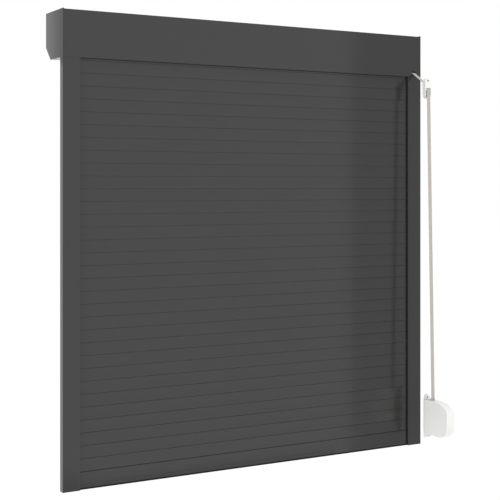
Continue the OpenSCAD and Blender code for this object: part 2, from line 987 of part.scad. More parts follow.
// Flat spiral spring between the hub and the drum
module winder_spring() {
  half = strap_w / 2 - 1;
  steps = spring_turns * spring_steps;
  inner = [for (i = [0 : steps]) spring_point(i / steps, -spring_t / 2)];
  outer = [for (i = [steps : -1 : 0]) spring_point(i / steps, spring_t / 2)];
  color(zinc)
    along_x(strap_x - half, strap_x + half)
      translate(spool_c)
        polygon(concat(inner, outer));
}

function spring_point(f, side) =
  (spring_in + f * (spring_out - spring_in) + side) * turned(360 * spring_turns * f);

module winder_strap_turns() {
  color(strap_beige)
    difference() {
      bar_x(strap_x - strap_w / 2, strap_x + strap_w / 2, spool_c, spool_turns_r);
      bar_x(strap_x - strap_w, strap_x + strap_w, spool_c, drum_r + seat);
    }
}

// Wall plate with a screw pad above and a lug between two cheeks below; its ears hold the pins
module winder_bracket() {
  top_hole = block_top + tab_hole_up;
  foot_hole = block_foot - foot_hole_down;
  foot = block_foot - foot_down;
  ear_foot = block_foot - ear_gap - ear_t;
  color(white_plastic)
    difference() {
      union() {
        along_y(wall_y - tab_t, wall_y)
          box2(strap_x - plate_half, foot, strap_x + plate_half, block_top + ear_gap + ear_t);
        along_y(wall_y - tab_pad_t, wall_y)
          intersection() {
            translate([strap_x, top_hole])
              circle(tab_r);
            box2(strap_x - tab_r, block_top + ear_gap, strap_x + tab_r, top_hole + tab_r);
          }
        bracket_ear(block_top + ear_gap, ear_t);
        bracket_ear(ear_foot, ear_t);
        for (x = [strap_x - ear_r, strap_x + ear_r - cheek_t])
          along_x(x, x + cheek_t)
            polygon([
              [wall_y - tab_t / 2, ear_foot + ear_t / 2],
              [pivot_y, ear_foot + ear_t / 2],
              [pivot_y, ear_foot - 1],
              [wall_y - tab_t / 2, foot]
            ]);
      }
      for (z = [foot_hole, top_hole])
        translate([strap_x, wall_y - tab_pad_t - 1, z])
          rotate([-90, 0, 0])
            cylinder(r = wall_hole_r, h = tab_pad_t + 2);
      translate([strap_x, pivot_y, foot])
        cylinder(r = pivot_r + press, h = top_hole - foot);
    }
}

module bracket_ear(z, t) {
  translate([0, 0, z])
    linear_extrude(t) {
      box2(strap_x - ear_r, pivot_y, strap_x + ear_r, wall_y);
      translate([strap_x, pivot_y])
        circle(ear_r);
    }
}

// Upper and lower pivot pin, each through an ear into the case
module winder_pivot_pins() {
  pin_len = pivot_in + ear_t - 3;
  color(zinc) {
    translate([strap_x, pivot_y, block_top + ear_gap + ear_t - pin_len])
      cylinder(r = pivot_r, h = pin_len);
    translate([strap_x, pivot_y, block_foot - ear_gap - ear_t])
      cylinder(r = pivot_r, h = pin_len);
  }
}

box_rear_panel();
box_front_panel();
box_inspection_cover();
end_cap(true);  // end_cap_left
end_cap(false);  // end_cap_right
cover_screws();
inlet_brush();
strap_inlet_bush();
barrel_bearing(true);  // barrel_bearing_left
barrel_bearing(false);  // barrel_bearing_right
barrel_tube();
barrel_end_plug();
barrel_end_pin();
strap_pulley();
pulley_strap_turns();
spring_hangers();
guide_rail(true);  // guide_rail_left
guide_rail(false);  // guide_rail_right
rail_brushes(true);  // rail_brushes_left
rail_brushes(false);  // rail_brushes_right
inlet_funnel(true);  // inlet_funnel_left
inlet_funnel(false);  // inlet_funnel_right
rail_end_plugs();
slat_group(0);  // slats_01
slat_group(1);  // slats_02
slat_group(2);  // slats_03
slat_group(3);  // slats_04
slat_group(4);  // slats_05
slat_group(5);  // slats_06
slat_group(6);  // slats_07
slat_group(7);  // slats_08
slat_group(8);  // slats_09
slat_group(9);  // slats_10
slat_group(10);  // slats_11
bottom_bar();
bottom_seal();
bottom_bar_guides();
bottom_stops();
stop_screws();
strap_upper();
strap_lower();
strap_guide();
strap_guide_roller();
strap_guide_pin();
winder_bracket();
winder_pivot_pins();
winder_case(true);  // winder_case_left
winder_case(false);  // winder_case_right
winder_case_screws();
winder_axle();
winder_spool();
winder_spring();
winder_strap_turns();
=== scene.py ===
"""Look of an exterior roller shutter with a strap drive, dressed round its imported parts."""
import logging
import math
import random
from dataclasses import dataclass, field
from enum import Enum
from typing import Callable, Sequence

import bmesh
import bpy
from mathutils import Matrix, Vector


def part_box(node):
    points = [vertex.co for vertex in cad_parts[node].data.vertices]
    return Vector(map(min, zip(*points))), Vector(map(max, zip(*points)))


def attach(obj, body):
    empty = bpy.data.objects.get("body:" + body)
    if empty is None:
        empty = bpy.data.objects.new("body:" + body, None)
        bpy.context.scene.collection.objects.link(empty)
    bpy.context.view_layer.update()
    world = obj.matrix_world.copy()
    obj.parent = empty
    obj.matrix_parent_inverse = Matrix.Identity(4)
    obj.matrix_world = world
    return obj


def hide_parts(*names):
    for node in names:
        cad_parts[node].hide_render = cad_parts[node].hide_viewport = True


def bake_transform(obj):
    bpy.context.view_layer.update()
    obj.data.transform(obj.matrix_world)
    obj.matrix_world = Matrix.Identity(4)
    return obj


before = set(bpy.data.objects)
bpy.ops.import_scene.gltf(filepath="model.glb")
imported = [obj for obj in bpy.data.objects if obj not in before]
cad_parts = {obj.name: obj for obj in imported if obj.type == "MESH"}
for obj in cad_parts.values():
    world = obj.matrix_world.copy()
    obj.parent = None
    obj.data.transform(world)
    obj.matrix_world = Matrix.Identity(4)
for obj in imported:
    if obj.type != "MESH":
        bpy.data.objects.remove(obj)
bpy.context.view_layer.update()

LOG = logging.getLogger("roller_shutter")

Point2 = tuple[float, float]
Point3 = tuple[float, float, float]
Colour = tuple[float, float, float]
Mesh = bpy.types.Mesh
Node = bpy.types.Node
Socket = bpy.types.NodeSocket

MM = 0.001
FULL_TURN = 360
WHITE: Colour = (1.0, 1.0, 1.0)
NOISE_MIDDLE = 0.5
BARREL_AXIS: Point2 = (71 * MM, 0.0)
SPOOL_AXIS: Point2 = (-138.5 * MM, -1201.5 * MM)


def srgb(red: int, green: int, blue: int) -> Colour:
    """Turn a screen colour of 0 to 255 into the linear values that shaders use.

    Args:
        red: Red level on screen.
        green: Green level on screen.
        blue: Blue level on screen.

    Returns:
        The linear colour.
    """
    def linear(level: int) -> float:
        """Give the linear value of one screen level."""
        share = level / 255
        return share / 12.92 if share <= 0.04045 else ((share + 0.055) / 1.055) ** 2.4

    return linear(red), linear(green), linear(blue)


class Effect(Enum):
    """Surface effects, each of them one shader node group."""

    GRAIN = "fine_grain"
    DUST = "settled_dust"
    # Painted shade: ambient occlusion darkens holes, slots and inner corners in the colour.
    RECESS_SHADE = "painted_recess_shade"
    DRAWN = "drawn_lines"
    WEAVE = "strap_weave"


class Body(Enum):
    """Moving bodies that new pieces ride on."""

    FRAME = "frame"
    BARREL = "barrel"
    BOTTOM_RAIL = "bottom_rail"
    WINDER = "winder"
    SPOOL = "spool"


class Slot(Enum):
    """Names for the strap, pile and zinc finishes of new pieces."""

    STRAP = "woven_strap"
    PILE = "brush_pile"
    ZINC = "zinc_steel"


class Sheet:
    """Short way to add and join nodes in one shader tree."""

    MIX_INPUTS = (0, 6, 7)
    MIX_RESULT = 2

    def __init__(self, tree: bpy.types.NodeTree) -> None:
        """Keep the tree that nodes go into."""
        self.tree = tree

    def add(self, kind: str, **settings: object) -> Node:
        """Add one node.

        Args:
            kind: Blender's name for the node.
            **settings: Attributes to set on it.

        Returns:
            The new node.
        """
        node = self.tree.nodes.new(kind)
        for key, value in settings.items():
            setattr(node, key, value)
        return node

    def join(self, source: Socket, target: Socket) -> None:
        """Link an output to an input."""
        self.tree.links.new(source, target)

    def feed(self, value: Socket | Colour | float, target: Socket) -> None:
        """Link a socket to an input, or set the input to a colour or a number.

        Args:
            value: What goes in.
            target: The input.
        """
        if isinstance(value, Socket):
            self.join(value, target)
        else:
            target.default_value = (*value, 1.0) if isinstance(value, tuple) else value

    def math(self, operation: str, *operands: Socket | float) -> Socket:
        """Add a math node.

        Args:
            operation: Blender's name for the operation.
            *operands: Its operands in order.

        Returns:
            The result's socket.
        """
        node = self.add("ShaderNodeMath", operation=operation)
        for value, target in zip(operands, node.inputs):
            self.feed(value, target)
        return node.outputs[0]

    def blend(self, share: Socket | float, first: Socket | Colour, second: Socket | Colour) -> Socket:
        """Mix two colours by a share.

        Args:
            share: Share of the second colour.
            first: Colour at share 0.
            second: Colour at share 1.

        Returns:
            The mixed colour's socket.
        """
        node = self.add("ShaderNodeMix", data_type="RGBA")
        for value, index in zip((share, first, second), self.MIX_INPUTS):
            self.feed(value, node.inputs[index])
        return node.outputs[self.MIX_RESULT]

    def tint(self, colour: Socket, change: Socket) -> Socket:
        """Lighten or darken a colour.

        Args:
            colour: The colour.
            change: Share by which it gets lighter.

        Returns:
            The changed colour's socket.
        """
        node = self.add("ShaderNodeVectorMath", operation="SCALE")
        self.join(colour, node.inputs[0])
        self.join(self.math("ADD", change, 1.0), node.inputs["Scale"])
        return node.outputs[0]

    def rise(self, value: Socket, start: float, end: float) -> Socket:
        """Rise smoothly from 0 to 1 between two values.

        Args:
            value: What the rise follows.
            start: Value at which it is 0.
            end: Value at which it is 1.

        Returns:
            The mask's socket.
        """
        node = self.add("ShaderNodeMapRange", interpolation_type="SMOOTHSTEP")
        self.join(value, node.inputs["Value"])
        node.inputs["From Min"].default_value = start
        node.inputs["From Max"].default_value = end
        return node.outputs["Result"]

    def place(self) -> Socket:
        """Give the surface's own coordinates, in metres."""
        return self.add("ShaderNodeTexCoord").outputs["Object"]

    def noise(self, place: Socket, scale: Socket | float, detail: float) -> Socket:
        """Add a noise texture at a place.

        Args:
            place: Socket with the coordinates.
            scale: Cells per metre.
            detail: Octaves of finer noise.

        Returns:
            The noise value's socket.
        """
        node = self.add("ShaderNodeTexNoise")
        self.join(place, node.inputs["Vector"])
        self.feed(scale, node.inputs["Scale"])
        node.inputs["Detail"].default_value = detail
        return node.outputs["Fac"]


class EffectGroups:
    """Builds each shader node group once and hands it out."""

    SPECK_SHARE = 0.5
    # Reach and samples of the ambient occlusion that lays the painted shade.
    SHADE_REACH = 6 * MM
    SHADE_SAMPLES = 8
    LINE_STRETCH = (0.04, 1.0, 1.0)

    def __init__(self) -> None:
        """Start with no group made."""
        self._made: dict[Effect, bpy.types.NodeTree] = {}
        self._makers: dict[Effect, Callable[[], bpy.types.NodeTree]] = {
            Effect.GRAIN: self._grain,
            Effect.DUST: self._dust,
            Effect.RECESS_SHADE: self._recess_shade,
            Effect.DRAWN: self._drawn,
            Effect.WEAVE: self._weave,
        }

    def get(self, effect: Effect) -> bpy.types.NodeTree:
        """Give the group of an effect, built on first use.

        Args:
            effect: The wanted effect.

        Returns:
            Its shader node group.
        """
        if effect not in self._made:
            self._made[effect] = self._makers[effect]()
        return self._made[effect]

    @staticmethod
    def _blank(effect: Effect, inputs: dict[str, str], outputs: dict[str, str]
               ) -> tuple[Sheet, Sequence[Socket], Sequence[Socket]]:
        """Make an empty group with named sockets.

        Args:
            effect: Effect that names the group.
            inputs: Socket types that go in, by name.
            outputs: Socket types that come out, by name.

        Returns:
            The group's sheet, the sockets that come in and those that go out.
        """
        tree = bpy.data.node_groups.new(effect.value, "ShaderNodeTree")
        for way, sockets in (("INPUT", inputs), ("OUTPUT", outputs)):
            for name, kind in sockets.items():
                tree.interface.new_socket(name, in_out=way, socket_type=f"NodeSocket{kind}")
        sheet = Sheet(tree)
        return sheet, sheet.add("NodeGroupInput").outputs, sheet.add("NodeGroupOutput").inputs

    def _grain(self) -> bpy.types.NodeTree:
        """Build the even grain of a coat or a moulding, with slow changes of tone and gloss.

        Returns:
            The group.
        """
        sheet, ins, outs = self._blank(
            Effect.GRAIN,
            {"Colour": "Color", "Mottle": "Float", "Grain Scale": "Float", "Patch Scale": "Float",
             "Roughness": "Float", "Gloss Spread": "Float"},
            {"Colour": "Color", "Roughness": "Float", "Height": "Float"})
        place = sheet.place()
        fine = sheet.noise(place, ins["Grain Scale"], detail=2.0)
        patch = sheet.noise(place, ins["Patch Scale"], detail=3.0)
        lean = sheet.math("SUBTRACT", patch, NOISE_MIDDLE)
        speck = sheet.math("MULTIPLY", sheet.math("SUBTRACT", fine, NOISE_MIDDLE), self.SPECK_SHARE)
        change = sheet.math("MULTIPLY", sheet.math("ADD", lean, speck), ins["Mottle"])
        sheet.join(sheet.tint(ins["Colour"], change), outs["Colour"])
        gloss = sheet.math("MULTIPLY", lean, ins["Gloss Spread"])
        sheet.join(sheet.math("ADD", gloss, ins["Roughness"]), outs["Roughness"])
        sheet.join(fine, outs["Height"])
        return sheet.tree

    def _dust(self) -> bpy.types.NodeTree:
        """Build the thin dust that settles on faces that look up.

        Returns:
            The group.
        """
        sheet, ins, outs = self._blank(
            Effect.DUST, {"Colour": "Color", "Dust": "Color", "Amount": "Float"}, {"Colour": "Color"})
        facing = sheet.add("ShaderNodeSeparateXYZ")
        sheet.join(sheet.add("ShaderNodeNewGeometry").outputs["Normal"], facing.inputs[0])
        upward = sheet.math("MAXIMUM", facing.outputs["Z"], 0.0)
        cloud = sheet.noise(sheet.place(), scale=38.0, detail=5.0)
        mask = sheet.math("MULTIPLY", sheet.math("MULTIPLY", upward, cloud), ins["Amount"])
        sheet.join(sheet.blend(mask, ins["Colour"], ins["Dust"]), outs["Colour"])
        return sheet.tree

    def _recess_shade(self) -> bpy.types.NodeTree:
        """Build painted shade: a darker grey mixed into the colour where ambient occlusion finds holes,
        slots and inner corners.

        Returns:
            The group.
        """
        sheet, ins, outs = self._blank(
            Effect.RECESS_SHADE, {"Colour": "Color", "Dirt": "Color", "Amount": "Float"}, {"Colour": "Color"})
        # Painted shade: a darker grey where ambient occlusion finds the surface hidden.
        open_sky = sheet.add("ShaderNodeAmbientOcclusion", samples=self.SHADE_SAMPLES)
        open_sky.inputs["Distance"].default_value = self.SHADE_REACH
        hidden = sheet.rise(open_sky.outputs["AO"], start=0.62, end=0.12)
        cloud = sheet.noise(sheet.place(), scale=240.0, detail=3.0)
        patchy = sheet.math("MULTIPLY", hidden, sheet.math("ADD", cloud, NOISE_MIDDLE))
        mask = sheet.math("MULTIPLY", patchy, ins["Amount"])
        sheet.join(sheet.blend(mask, ins["Colour"], ins["Dirt"]), outs["Colour"])
        return sheet.tree

    def _drawn(self) -> bpy.types.NodeTree:
        """Build the long fine lines of drawn and plated steel.

        Returns:
            The group.
        """
        sheet, ins, outs = self._blank(
            Effect.DRAWN, {"Colour": "Color", "Spread": "Float", "Roughness": "Float"},
            {"Colour": "Color", "Roughness": "Float", "Height": "Float"})
        place = sheet.place()
        stretch = sheet.add("ShaderNodeMapping")
        stretch.inputs["Scale"].default_value = self.LINE_STRETCH
        sheet.join(place, stretch.inputs["Vector"])
        lines = sheet.noise(stretch.outputs["Vector"], scale=1400.0, detail=3.0)
        bloom = sheet.noise(place, scale=90.0, detail=4.0)
        lean = sheet.math("SUBTRACT", sheet.math("ADD", lines, bloom), 2 * NOISE_MIDDLE)
        change = sheet.math("MULTIPLY", lean, ins["Spread"])
        sheet.join(sheet.tint(ins["Colour"], change), outs["Colour"])
        sheet.join(sheet.math("ADD", change, ins["Roughness"]), outs["Roughness"])
        sheet.join(lines, outs["Height"])
        return sheet.tree

    def _weave(self) -> bpy.types.NodeTree:
        """Build a plain weave on UVs that run from 0 to 1 across and in metres along.

        Returns:
            The group.
        """
        sheet, ins, outs = self._blank(
            Effect.WEAVE,
            {"Warp": "Color", "Weft": "Color", "Ends": "Float", "Picks": "Float", "Fuzz": "Float"},
            {"Colour": "Color", "Height": "Float"})
        part = sheet.add("ShaderNodeSeparateXYZ")
        sheet.join(sheet.add("ShaderNodeUVMap", uv_map=Ribbon.UV_NAME).outputs["UV"], part.inputs[0])
        threads = []
        for axis, count in (("X", "Ends"), ("Y", "Picks")):
            run = sheet.math("MULTIPLY", sheet.math("MULTIPLY", part.outputs[axis], ins[count]), math.pi)
            threads.append(sheet.math("SINE", run))
        warp, weft = threads
        over = sheet.math("GREATER_THAN", sheet.math("MULTIPLY", warp, weft), 0.0)
        under = sheet.math("SUBTRACT", 1.0, over)
        high = sheet.math("MULTIPLY", sheet.math("ABSOLUTE", warp), over)
        low = sheet.math("MULTIPLY", sheet.math("ABSOLUTE", weft), under)
        fibre = sheet.noise(sheet.place(), scale=2600.0, detail=3.0)
        shade = sheet.math("MULTIPLY", sheet.math("SUBTRACT", fibre, NOISE_MIDDLE), ins["Fuzz"])
        sheet.join(sheet.tint(sheet.blend(over, ins["Weft"], ins["Warp"]), shade), outs["Colour"])
        sheet.join(sheet.math("ADD", sheet.math("ADD", high, low), shade), outs["Height"])
        return sheet.tree


EFFECTS = EffectGroups()


@dataclass(frozen=True)
class Finish:
    """One finish, which makes its material on first use.

    Attributes:
        name: Name of the material.
        colour: Main colour, in linear values.
        roughness: Middle roughness of the surface.
        bump: Height of the grain, in metres.
    """

    name: str
    colour: Colour
    roughness: float
    bump: float

    def material(self) -> bpy.types.Material:
        """Give the finish's material, made on first use.

        Returns:
            The material.
        """
        found = bpy.data.materials.get(self.name)
        if found:
            return found
        made = bpy.data.materials.new(self.name)
        made.use_nodes = True
        made.diffuse_color = (*self.colour, 1.0)
        self.shade(Sheet(made.node_tree), made.node_tree.nodes["Principled BSDF"])
        return made

    def shade(self, sheet: Sheet, surface: Node) -> None:
        """Join the finish's effects to its surface shader."""
        raise NotImplementedError

    def group(self, sheet: Sheet, effect: Effect, **values: Socket | Colour | float) -> Node:
        """Place an effect with this finish's own values.

        Args:
            sheet: The material's sheet.
            effect: The effect to place.
            **values: What goes in, by socket name with underscores for spaces.

        Returns:
            The group node.
        """
        node = sheet.add("ShaderNodeGroup", node_tree=EFFECTS.get(effect))
        for key, value in values.items():
            sheet.feed(value, node.inputs[key.replace("_", " ")])
        return node

    def raise_grain(self, sheet: Sheet, surface: Node, height: Socket) -> None:
        """Turn a height into the surface's normal.

        Args:
            sheet: The material's sheet.
            surface: Its surface shader.
            height: Socket with the height.
        """
        bump = sheet.add("ShaderNodeBump")
        bump.inputs["Distance"].default_value = self.bump
        sheet.join(height, bump.inputs["Height"])
        sheet.join(bump.outputs["Normal"], surface.inputs["Normal"])


@dataclass(frozen=True)
class GrainedFinish(Finish):
    """Coat, moulding, pile or rubber with an even grain and a little dust.

    Attributes:
        grain: Grain cells per metre.
        patch: Slow patches of tone per metre.
        mottle: Share by which the tone changes.
        gloss_spread: Change of roughness over the patches.
        dust: Share of dust on faces that look up.
        painted_shade: Share of painted shade, a darker grey laid by ambient occlusion into holes and inner
            corners.
        specular: Strength of the plain reflection.
        sheen: Weight of the soft rim on fibres.
    """

    grain: float
    patch: float
    mottle: float
    gloss_spread: float
    dust: float = 0.0
    painted_shade: float = 0.0
    specular: float = 0.5
    sheen: float = 0.0

    def shade(self, sheet: Sheet, surface: Node) -> None:
        """Join grain, dust and painted shade in recesses to the surface shader.

        Args:
            sheet: The material's sheet.
            surface: Its surface shader.
        """
        grain = self.group(sheet, Effect.GRAIN, Colour=self.colour, Mottle=self.mottle,
                           Grain_Scale=self.grain, Patch_Scale=self.patch, Roughness=self.roughness,
                           Gloss_Spread=self.gloss_spread)
        dust = self.group(sheet, Effect.DUST, Colour=grain.outputs["Colour"], Dust=DUST_COLOUR,
                          Amount=self.dust)
        colour = dust.outputs["Colour"]
        # Painted shade: ambient occlusion darkens the colour in holes and inner corners.
        if self.painted_shade:
            painted_shade = self.group(sheet, Effect.RECESS_SHADE, Colour=colour, Dirt=PAINTED_SHADE_COLOUR, Amount=self.painted_shade)
            colour = painted_shade.outputs["Colour"]
        sheet.join(colour, surface.inputs["Base Color"])
        sheet.join(grain.outputs["Roughness"], surface.inputs["Roughness"])
        surface.inputs["Specular IOR Level"].default_value = self.specular
        surface.inputs["Sheen Weight"].default_value = self.sheen
        self.raise_grain(sheet, surface, grain.outputs["Height"])


@dataclass(frozen=True)
class PlatedSteel(Finish):
    """Drawn steel with a bright plating.

    Attributes:
        spread: Share by which the lines change tone and gloss.
    """

    spread: float = 0.16

    def shade(self, sheet: Sheet, surface: Node) -> None:
        """Join drawn lines to a metal surface shader.

        Args:
            sheet: The material's sheet.
            surface: Its surface shader.
        """
        drawn = self.group(sheet, Effect.DRAWN, Colour=self.colour, Spread=self.spread,
                           Roughness=self.roughness)
        sheet.join(drawn.outputs["Colour"], surface.inputs["Base Color"])
        sheet.join(drawn.outputs["Roughness"], surface.inputs["Roughness"])
        surface.inputs["Metallic"].default_value = 1.0
        self.raise_grain(sheet, surface, drawn.outputs["Height"])


@dataclass(frozen=True)
class Webbing(Finish):
    """Woven strap.

    Attributes:
        weft: Colour of the cross threads.
        ends: Threads across the strap.
        picks: Cross threads per metre.
        fuzz: Share by which single fibres change tone.
        sheen: Weight of the soft rim on the fibres.
    """

    weft: Colour
    ends: float = 14.0
    picks: float = 900.0
    fuzz: float = 0.25
    sheen: float = 0.15

    def shade(self, sheet: Sheet, surface: Node) -> None:
        """Join the weave to a cloth surface shader.

        Args:
            sheet: The material's sheet.
            surface: Its surface shader.
        """
        weave = self.group(sheet, Effect.WEAVE, Warp=self.colour, Weft=self.weft, Ends=self.ends,
                           Picks=self.picks, Fuzz=self.fuzz)
        sheet.join(weave.outputs["Colour"], surface.inputs["Base Color"])
        surface.inputs["Roughness"].default_value = self.roughness
        surface.inputs["Sheen Weight"].default_value = self.sheen
        self.raise_grain(sheet, surface, weave.outputs["Height"])


DUST_COLOUR = srgb(150, 148, 142)
# Colour of the painted shade in holes, slots and inner corners.
PAINTED_SHADE_COLOUR = srgb(92, 90, 86)
COAT = GrainedFinish("anthracite_powder_coat", srgb(47, 47, 47), roughness=0.15, bump=0.004 * MM,
                     grain=1500.0, patch=4.0, mottle=0.06, gloss_spread=0.06, dust=0.06)
SLAT_COAT = GrainedFinish("anthracite_slat_coat", srgb(47, 47, 47), roughness=0.15, bump=0.004 * MM,
                          grain=1700.0, patch=7.0, mottle=0.07, gloss_spread=0.06, dust=0.08)
DARK_PLASTIC = GrainedFinish("black_moulding", srgb(38, 38, 39), roughness=0.5, bump=0.03 * MM,
                             grain=1100.0, patch=20.0, mottle=0.12, gloss_spread=0.12, dust=0.1)
# The white moulding gets painted shade in its holes and inner corners.
WHITE_PLASTIC = GrainedFinish("white_moulding", srgb(234, 234, 231), roughness=0.38, bump=0.02 * MM,
                              grain=1200.0, patch=18.0, mottle=0.025, gloss_spread=0.1, dust=0.02,
                              painted_shade=0.9)
RUBBER = GrainedFinish("seal_rubber", srgb(20, 20, 21), roughness=0.8, bump=0.05 * MM, grain=800.0,
                       patch=30.0, mottle=0.2, gloss_spread=0.15, dust=0.12, specular=0.2)
PILE = GrainedFinish("grey_pile", srgb(104, 104, 105), roughness=0.9, bump=0.1 * MM, grain=2600.0,
                     patch=60.0, mottle=0.4, gloss_spread=0.05, sheen=0.3)
ZINC = PlatedSteel("zinc_plate", srgb(190, 193, 198), roughness=0.34, bump=0.02 * MM)
STRAP = Webbing("strap_webbing", srgb(191, 187, 181), roughness=0.82, bump=0.18 * MM,
                weft=srgb(173, 169, 162))

WELD_GAP = 0.002 * MM
EDGE_ANGLE = math.radians(40)
EDGE_STEPS = 2


def dress(nodes: Sequence[str], finish: Finish, edge: float = 0.0) -> None:
    """Give CAD nodes their finish and soften their edges.

    Args:
        nodes: Names of the nodes.
        finish: The finish that they get.
        edge: Width of the edges' bevel in metres, or 0 for none.
    """
    for name in nodes:
        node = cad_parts[name]
        node.data.materials.clear()
        node.data.materials.append(finish.material())
        if edge:
            weld = node.modifiers.new("join_faces", "WELD")
            weld.merge_threshold = WELD_GAP
            bevel = node.modifiers.new("soft_edges", "BEVEL")
            bevel.width = edge
            bevel.segments = EDGE_STEPS
            bevel.limit_method = "ANGLE"
            bevel.angle_limit = EDGE_ANGLE
            bevel.use_clamp_overlap = True
            normal = node.modifiers.new("even_shading", "WEIGHTED_NORMAL")
            normal.keep_sharp = True
        LOG.info("dressed %s in %s", name, finish.name)


def close_mesh(name: str, shape: bmesh.types.BMesh) -> Mesh:
    """Turn a shape that is being built into a mesh.

    Args:
        name: Name of the mesh.
        shape: The shape, which is freed.

    Returns:
        The mesh.
    """
    mesh = bpy.data.meshes.new(name)
    shape.to_mesh(mesh)
    shape.free()
    return mesh


def show(name: str, mesh: Mesh) -> bpy.types.Object:
    """Put a mesh into the scene.

    Args:
        name: Name of the object.
        mesh: Its mesh.

    Returns:
        The new object.
    """
    made = bpy.data.objects.new(name, mesh)
    bpy.context.scene.collection.objects.link(made)
    return made


def add_piece(name: str, mesh: Mesh, finish: Finish, nodes: Sequence[str]) -> bpy.types.Object:
    """Put a new piece into the scene with its finish.

    Args:
        name: Name of the piece.
        mesh: Its mesh, in the shared frame.
        finish: The finish that it gets.
        nodes: CAD nodes that it replaces.

    Returns:
        The new object.
    """
    piece = show(name, mesh)
    mesh.materials.append(finish.material())
    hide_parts(*nodes)
    LOG.info("built %s", name)
    return piece


@dataclass
class Route:
    """Middle line of a strap in the Y-Z plane.

    Attributes:
        points: Places along the line, in metres.
    """

    points: list[Point2] = field(default_factory=list)

    def straight(self, end: Point2, step: float = 6 * MM) -> "Route":
        """Run straight to a point.

        Args:
            end: Where the run ends.
            step: Longest distance between two points.

        Returns:
            The same route.
        """
        y0, z0 = self.points[-1]
        count = max(1, math.ceil(math.dist((y0, z0), end) / step))
        for i in range(1, count + 1):
            share = i / count
            self.points.append((y0 + (end[0] - y0) * share, z0 + (end[1] - z0) * share))
        return self

    def turn(self, centre: Point2, radius: float, start: float, end: float, grow: float = 0.0,
             step: float = 12.0) -> "Route":
        """Run round a centre.

        Args:
            centre: Middle of the turn.
            radius: Radius at its start.
            start: First angle, in degrees.
            end: Last angle, in degrees.
            grow: How much the radius grows over the whole run.
            step: Largest angle between two points.

        Returns:
            The same route.
        """
        count = max(2, math.ceil(abs(end - start) / step))
        for i in range(count + 1):
            share = i / count
            angle = math.radians(start + (end - start) * share)
            reach = radius + grow * share
            point = (centre[0] + reach * math.cos(angle), centre[1] + reach * math.sin(angle))
            if not self.points or math.dist(point, self.points[-1]) > MM * MM:
                self.points.append(point)
        return self

    def sides(self) -> list[Point2]:
        """Give the unit normal at each point.

        Returns:
            The normals, to the left of the running direction.
        """
        found = []
        last = len(self.points) - 1
        for i in range(last + 1):
            before, after = self.points[max(0, i - 1)], self.points[min(last, i + 1)]
            dy, dz = after[0] - before[0], after[1] - before[1]
            size = math.hypot(dy, dz)
            found.append((-dz / size, dy / size))
        return found


@dataclass
class Ribbon:
    """Flat woven ribbon with rounded selvedges and raised ribs.

    Attributes:
        middle: Place of its middle on X.
        width: Its width.
        thick: Its thickness.
        ribs: Raised ribs across the width.
        rib_h: Height of a rib.
        steps: Points across one face.
        selvedge: Share of the thickness that is left at the very edge.
    """

    UV_NAME = "weave"

    middle: float
    width: float
    thick: float
    ribs: int = 5
    rib_h: float = 0.08 * MM
    steps: int = 20
    selvedge: float = 0.12

    def section(self) -> list[Point2]:
        """Give the closed outline across the ribbon.

        Returns:
            Places across X and off the middle surface.
        """
        face = []
        half = self.thick / 2
        for i in range(self.steps + 1):
            share = i / self.steps
            edge = min(share, 1 - share) * self.width
            round_off = math.sqrt(max(0.0, 1 - (1 - min(1.0, edge / half)) ** 2))
            rib = self.rib_h * (math.cos(2 * math.pi * self.ribs * share) - 1) / 2
            face.append(((share - 0.5) * self.width, max(self.selvedge, round_off) * (half + rib)))
        return face + [(x, -n) for x, n in reversed(face)]

    def mesh(self, name: str, route: Route) -> Mesh:
        """Sweep the ribbon along a route.

        Args:
            name: Name of the mesh.
            route: Its middle line.

        Returns:
            The closed mesh, with UVs for the weave.
        """
        shape = bmesh.new()
        uv = shape.loops.layers.uv.new(self.UV_NAME)
        section = self.section()
        rings, lengths, run = [], [], 0.0
        for i, ((y, z), (ny, nz)) in enumerate(zip(route.points, route.sides())):
            if i:
                run += math.dist((y, z), route.points[i - 1])
            lengths.append(run)
            rings.append([shape.verts.new((self.middle + x, y + n * ny, z + n * nz)) for x, n in section])
        count = len(section)
        for i in range(len(rings) - 1):
            for j in range(count):
                k = (j + 1) % count
                face = shape.faces.new((rings[i][j], rings[i][k], rings[i + 1][k], rings[i + 1][j]))
                face.smooth = True
                for loop, (ring, spot) in zip(face.loops, ((i, j), (i, k), (i + 1, k), (i + 1, j))):
                    loop[uv].uv = (section[spot][0] / self.width + 0.5, lengths[ring])
        shape.faces.new(rings[0])
        shape.faces.new(list(reversed(rings[-1])))
        bmesh.ops.recalc_face_normals(shape, faces=shape.faces)
        return close_mesh(name, shape)


WOUND_THICK = 1.25 * MM
WOUND_STEPS = 8


def wind(name: str, node: str, body: Body, axis: Point2, core_r: float, turns: float, last: float) -> None:
    """Wind strap turns as one piece that stands for a node.

    Args:
        name: Name of the piece.
        node: CAD node that it replaces.
        body: Body that it rides on.
        axis: Middle of the turns in Y and Z.
        core_r: Radius of the core that carries them.
        turns: Number of turns.
        last: Angle at which the outer turn ends, in degrees.
    """
    low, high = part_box(node)
    strip = Ribbon((low.x + high.x) / 2, high.x - low.x, WOUND_THICK, steps=WOUND_STEPS)
    half = strip.thick / 2 + strip.rib_h
    grow = (high.z - low.z) / 2 - core_r - 2 * half
    route = Route().turn(axis, core_r + half, last - FULL_TURN * turns, last, grow)
    piece = add_piece(name, strip.mesh(name, route), STRAP, [node])
    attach(piece, body.value)


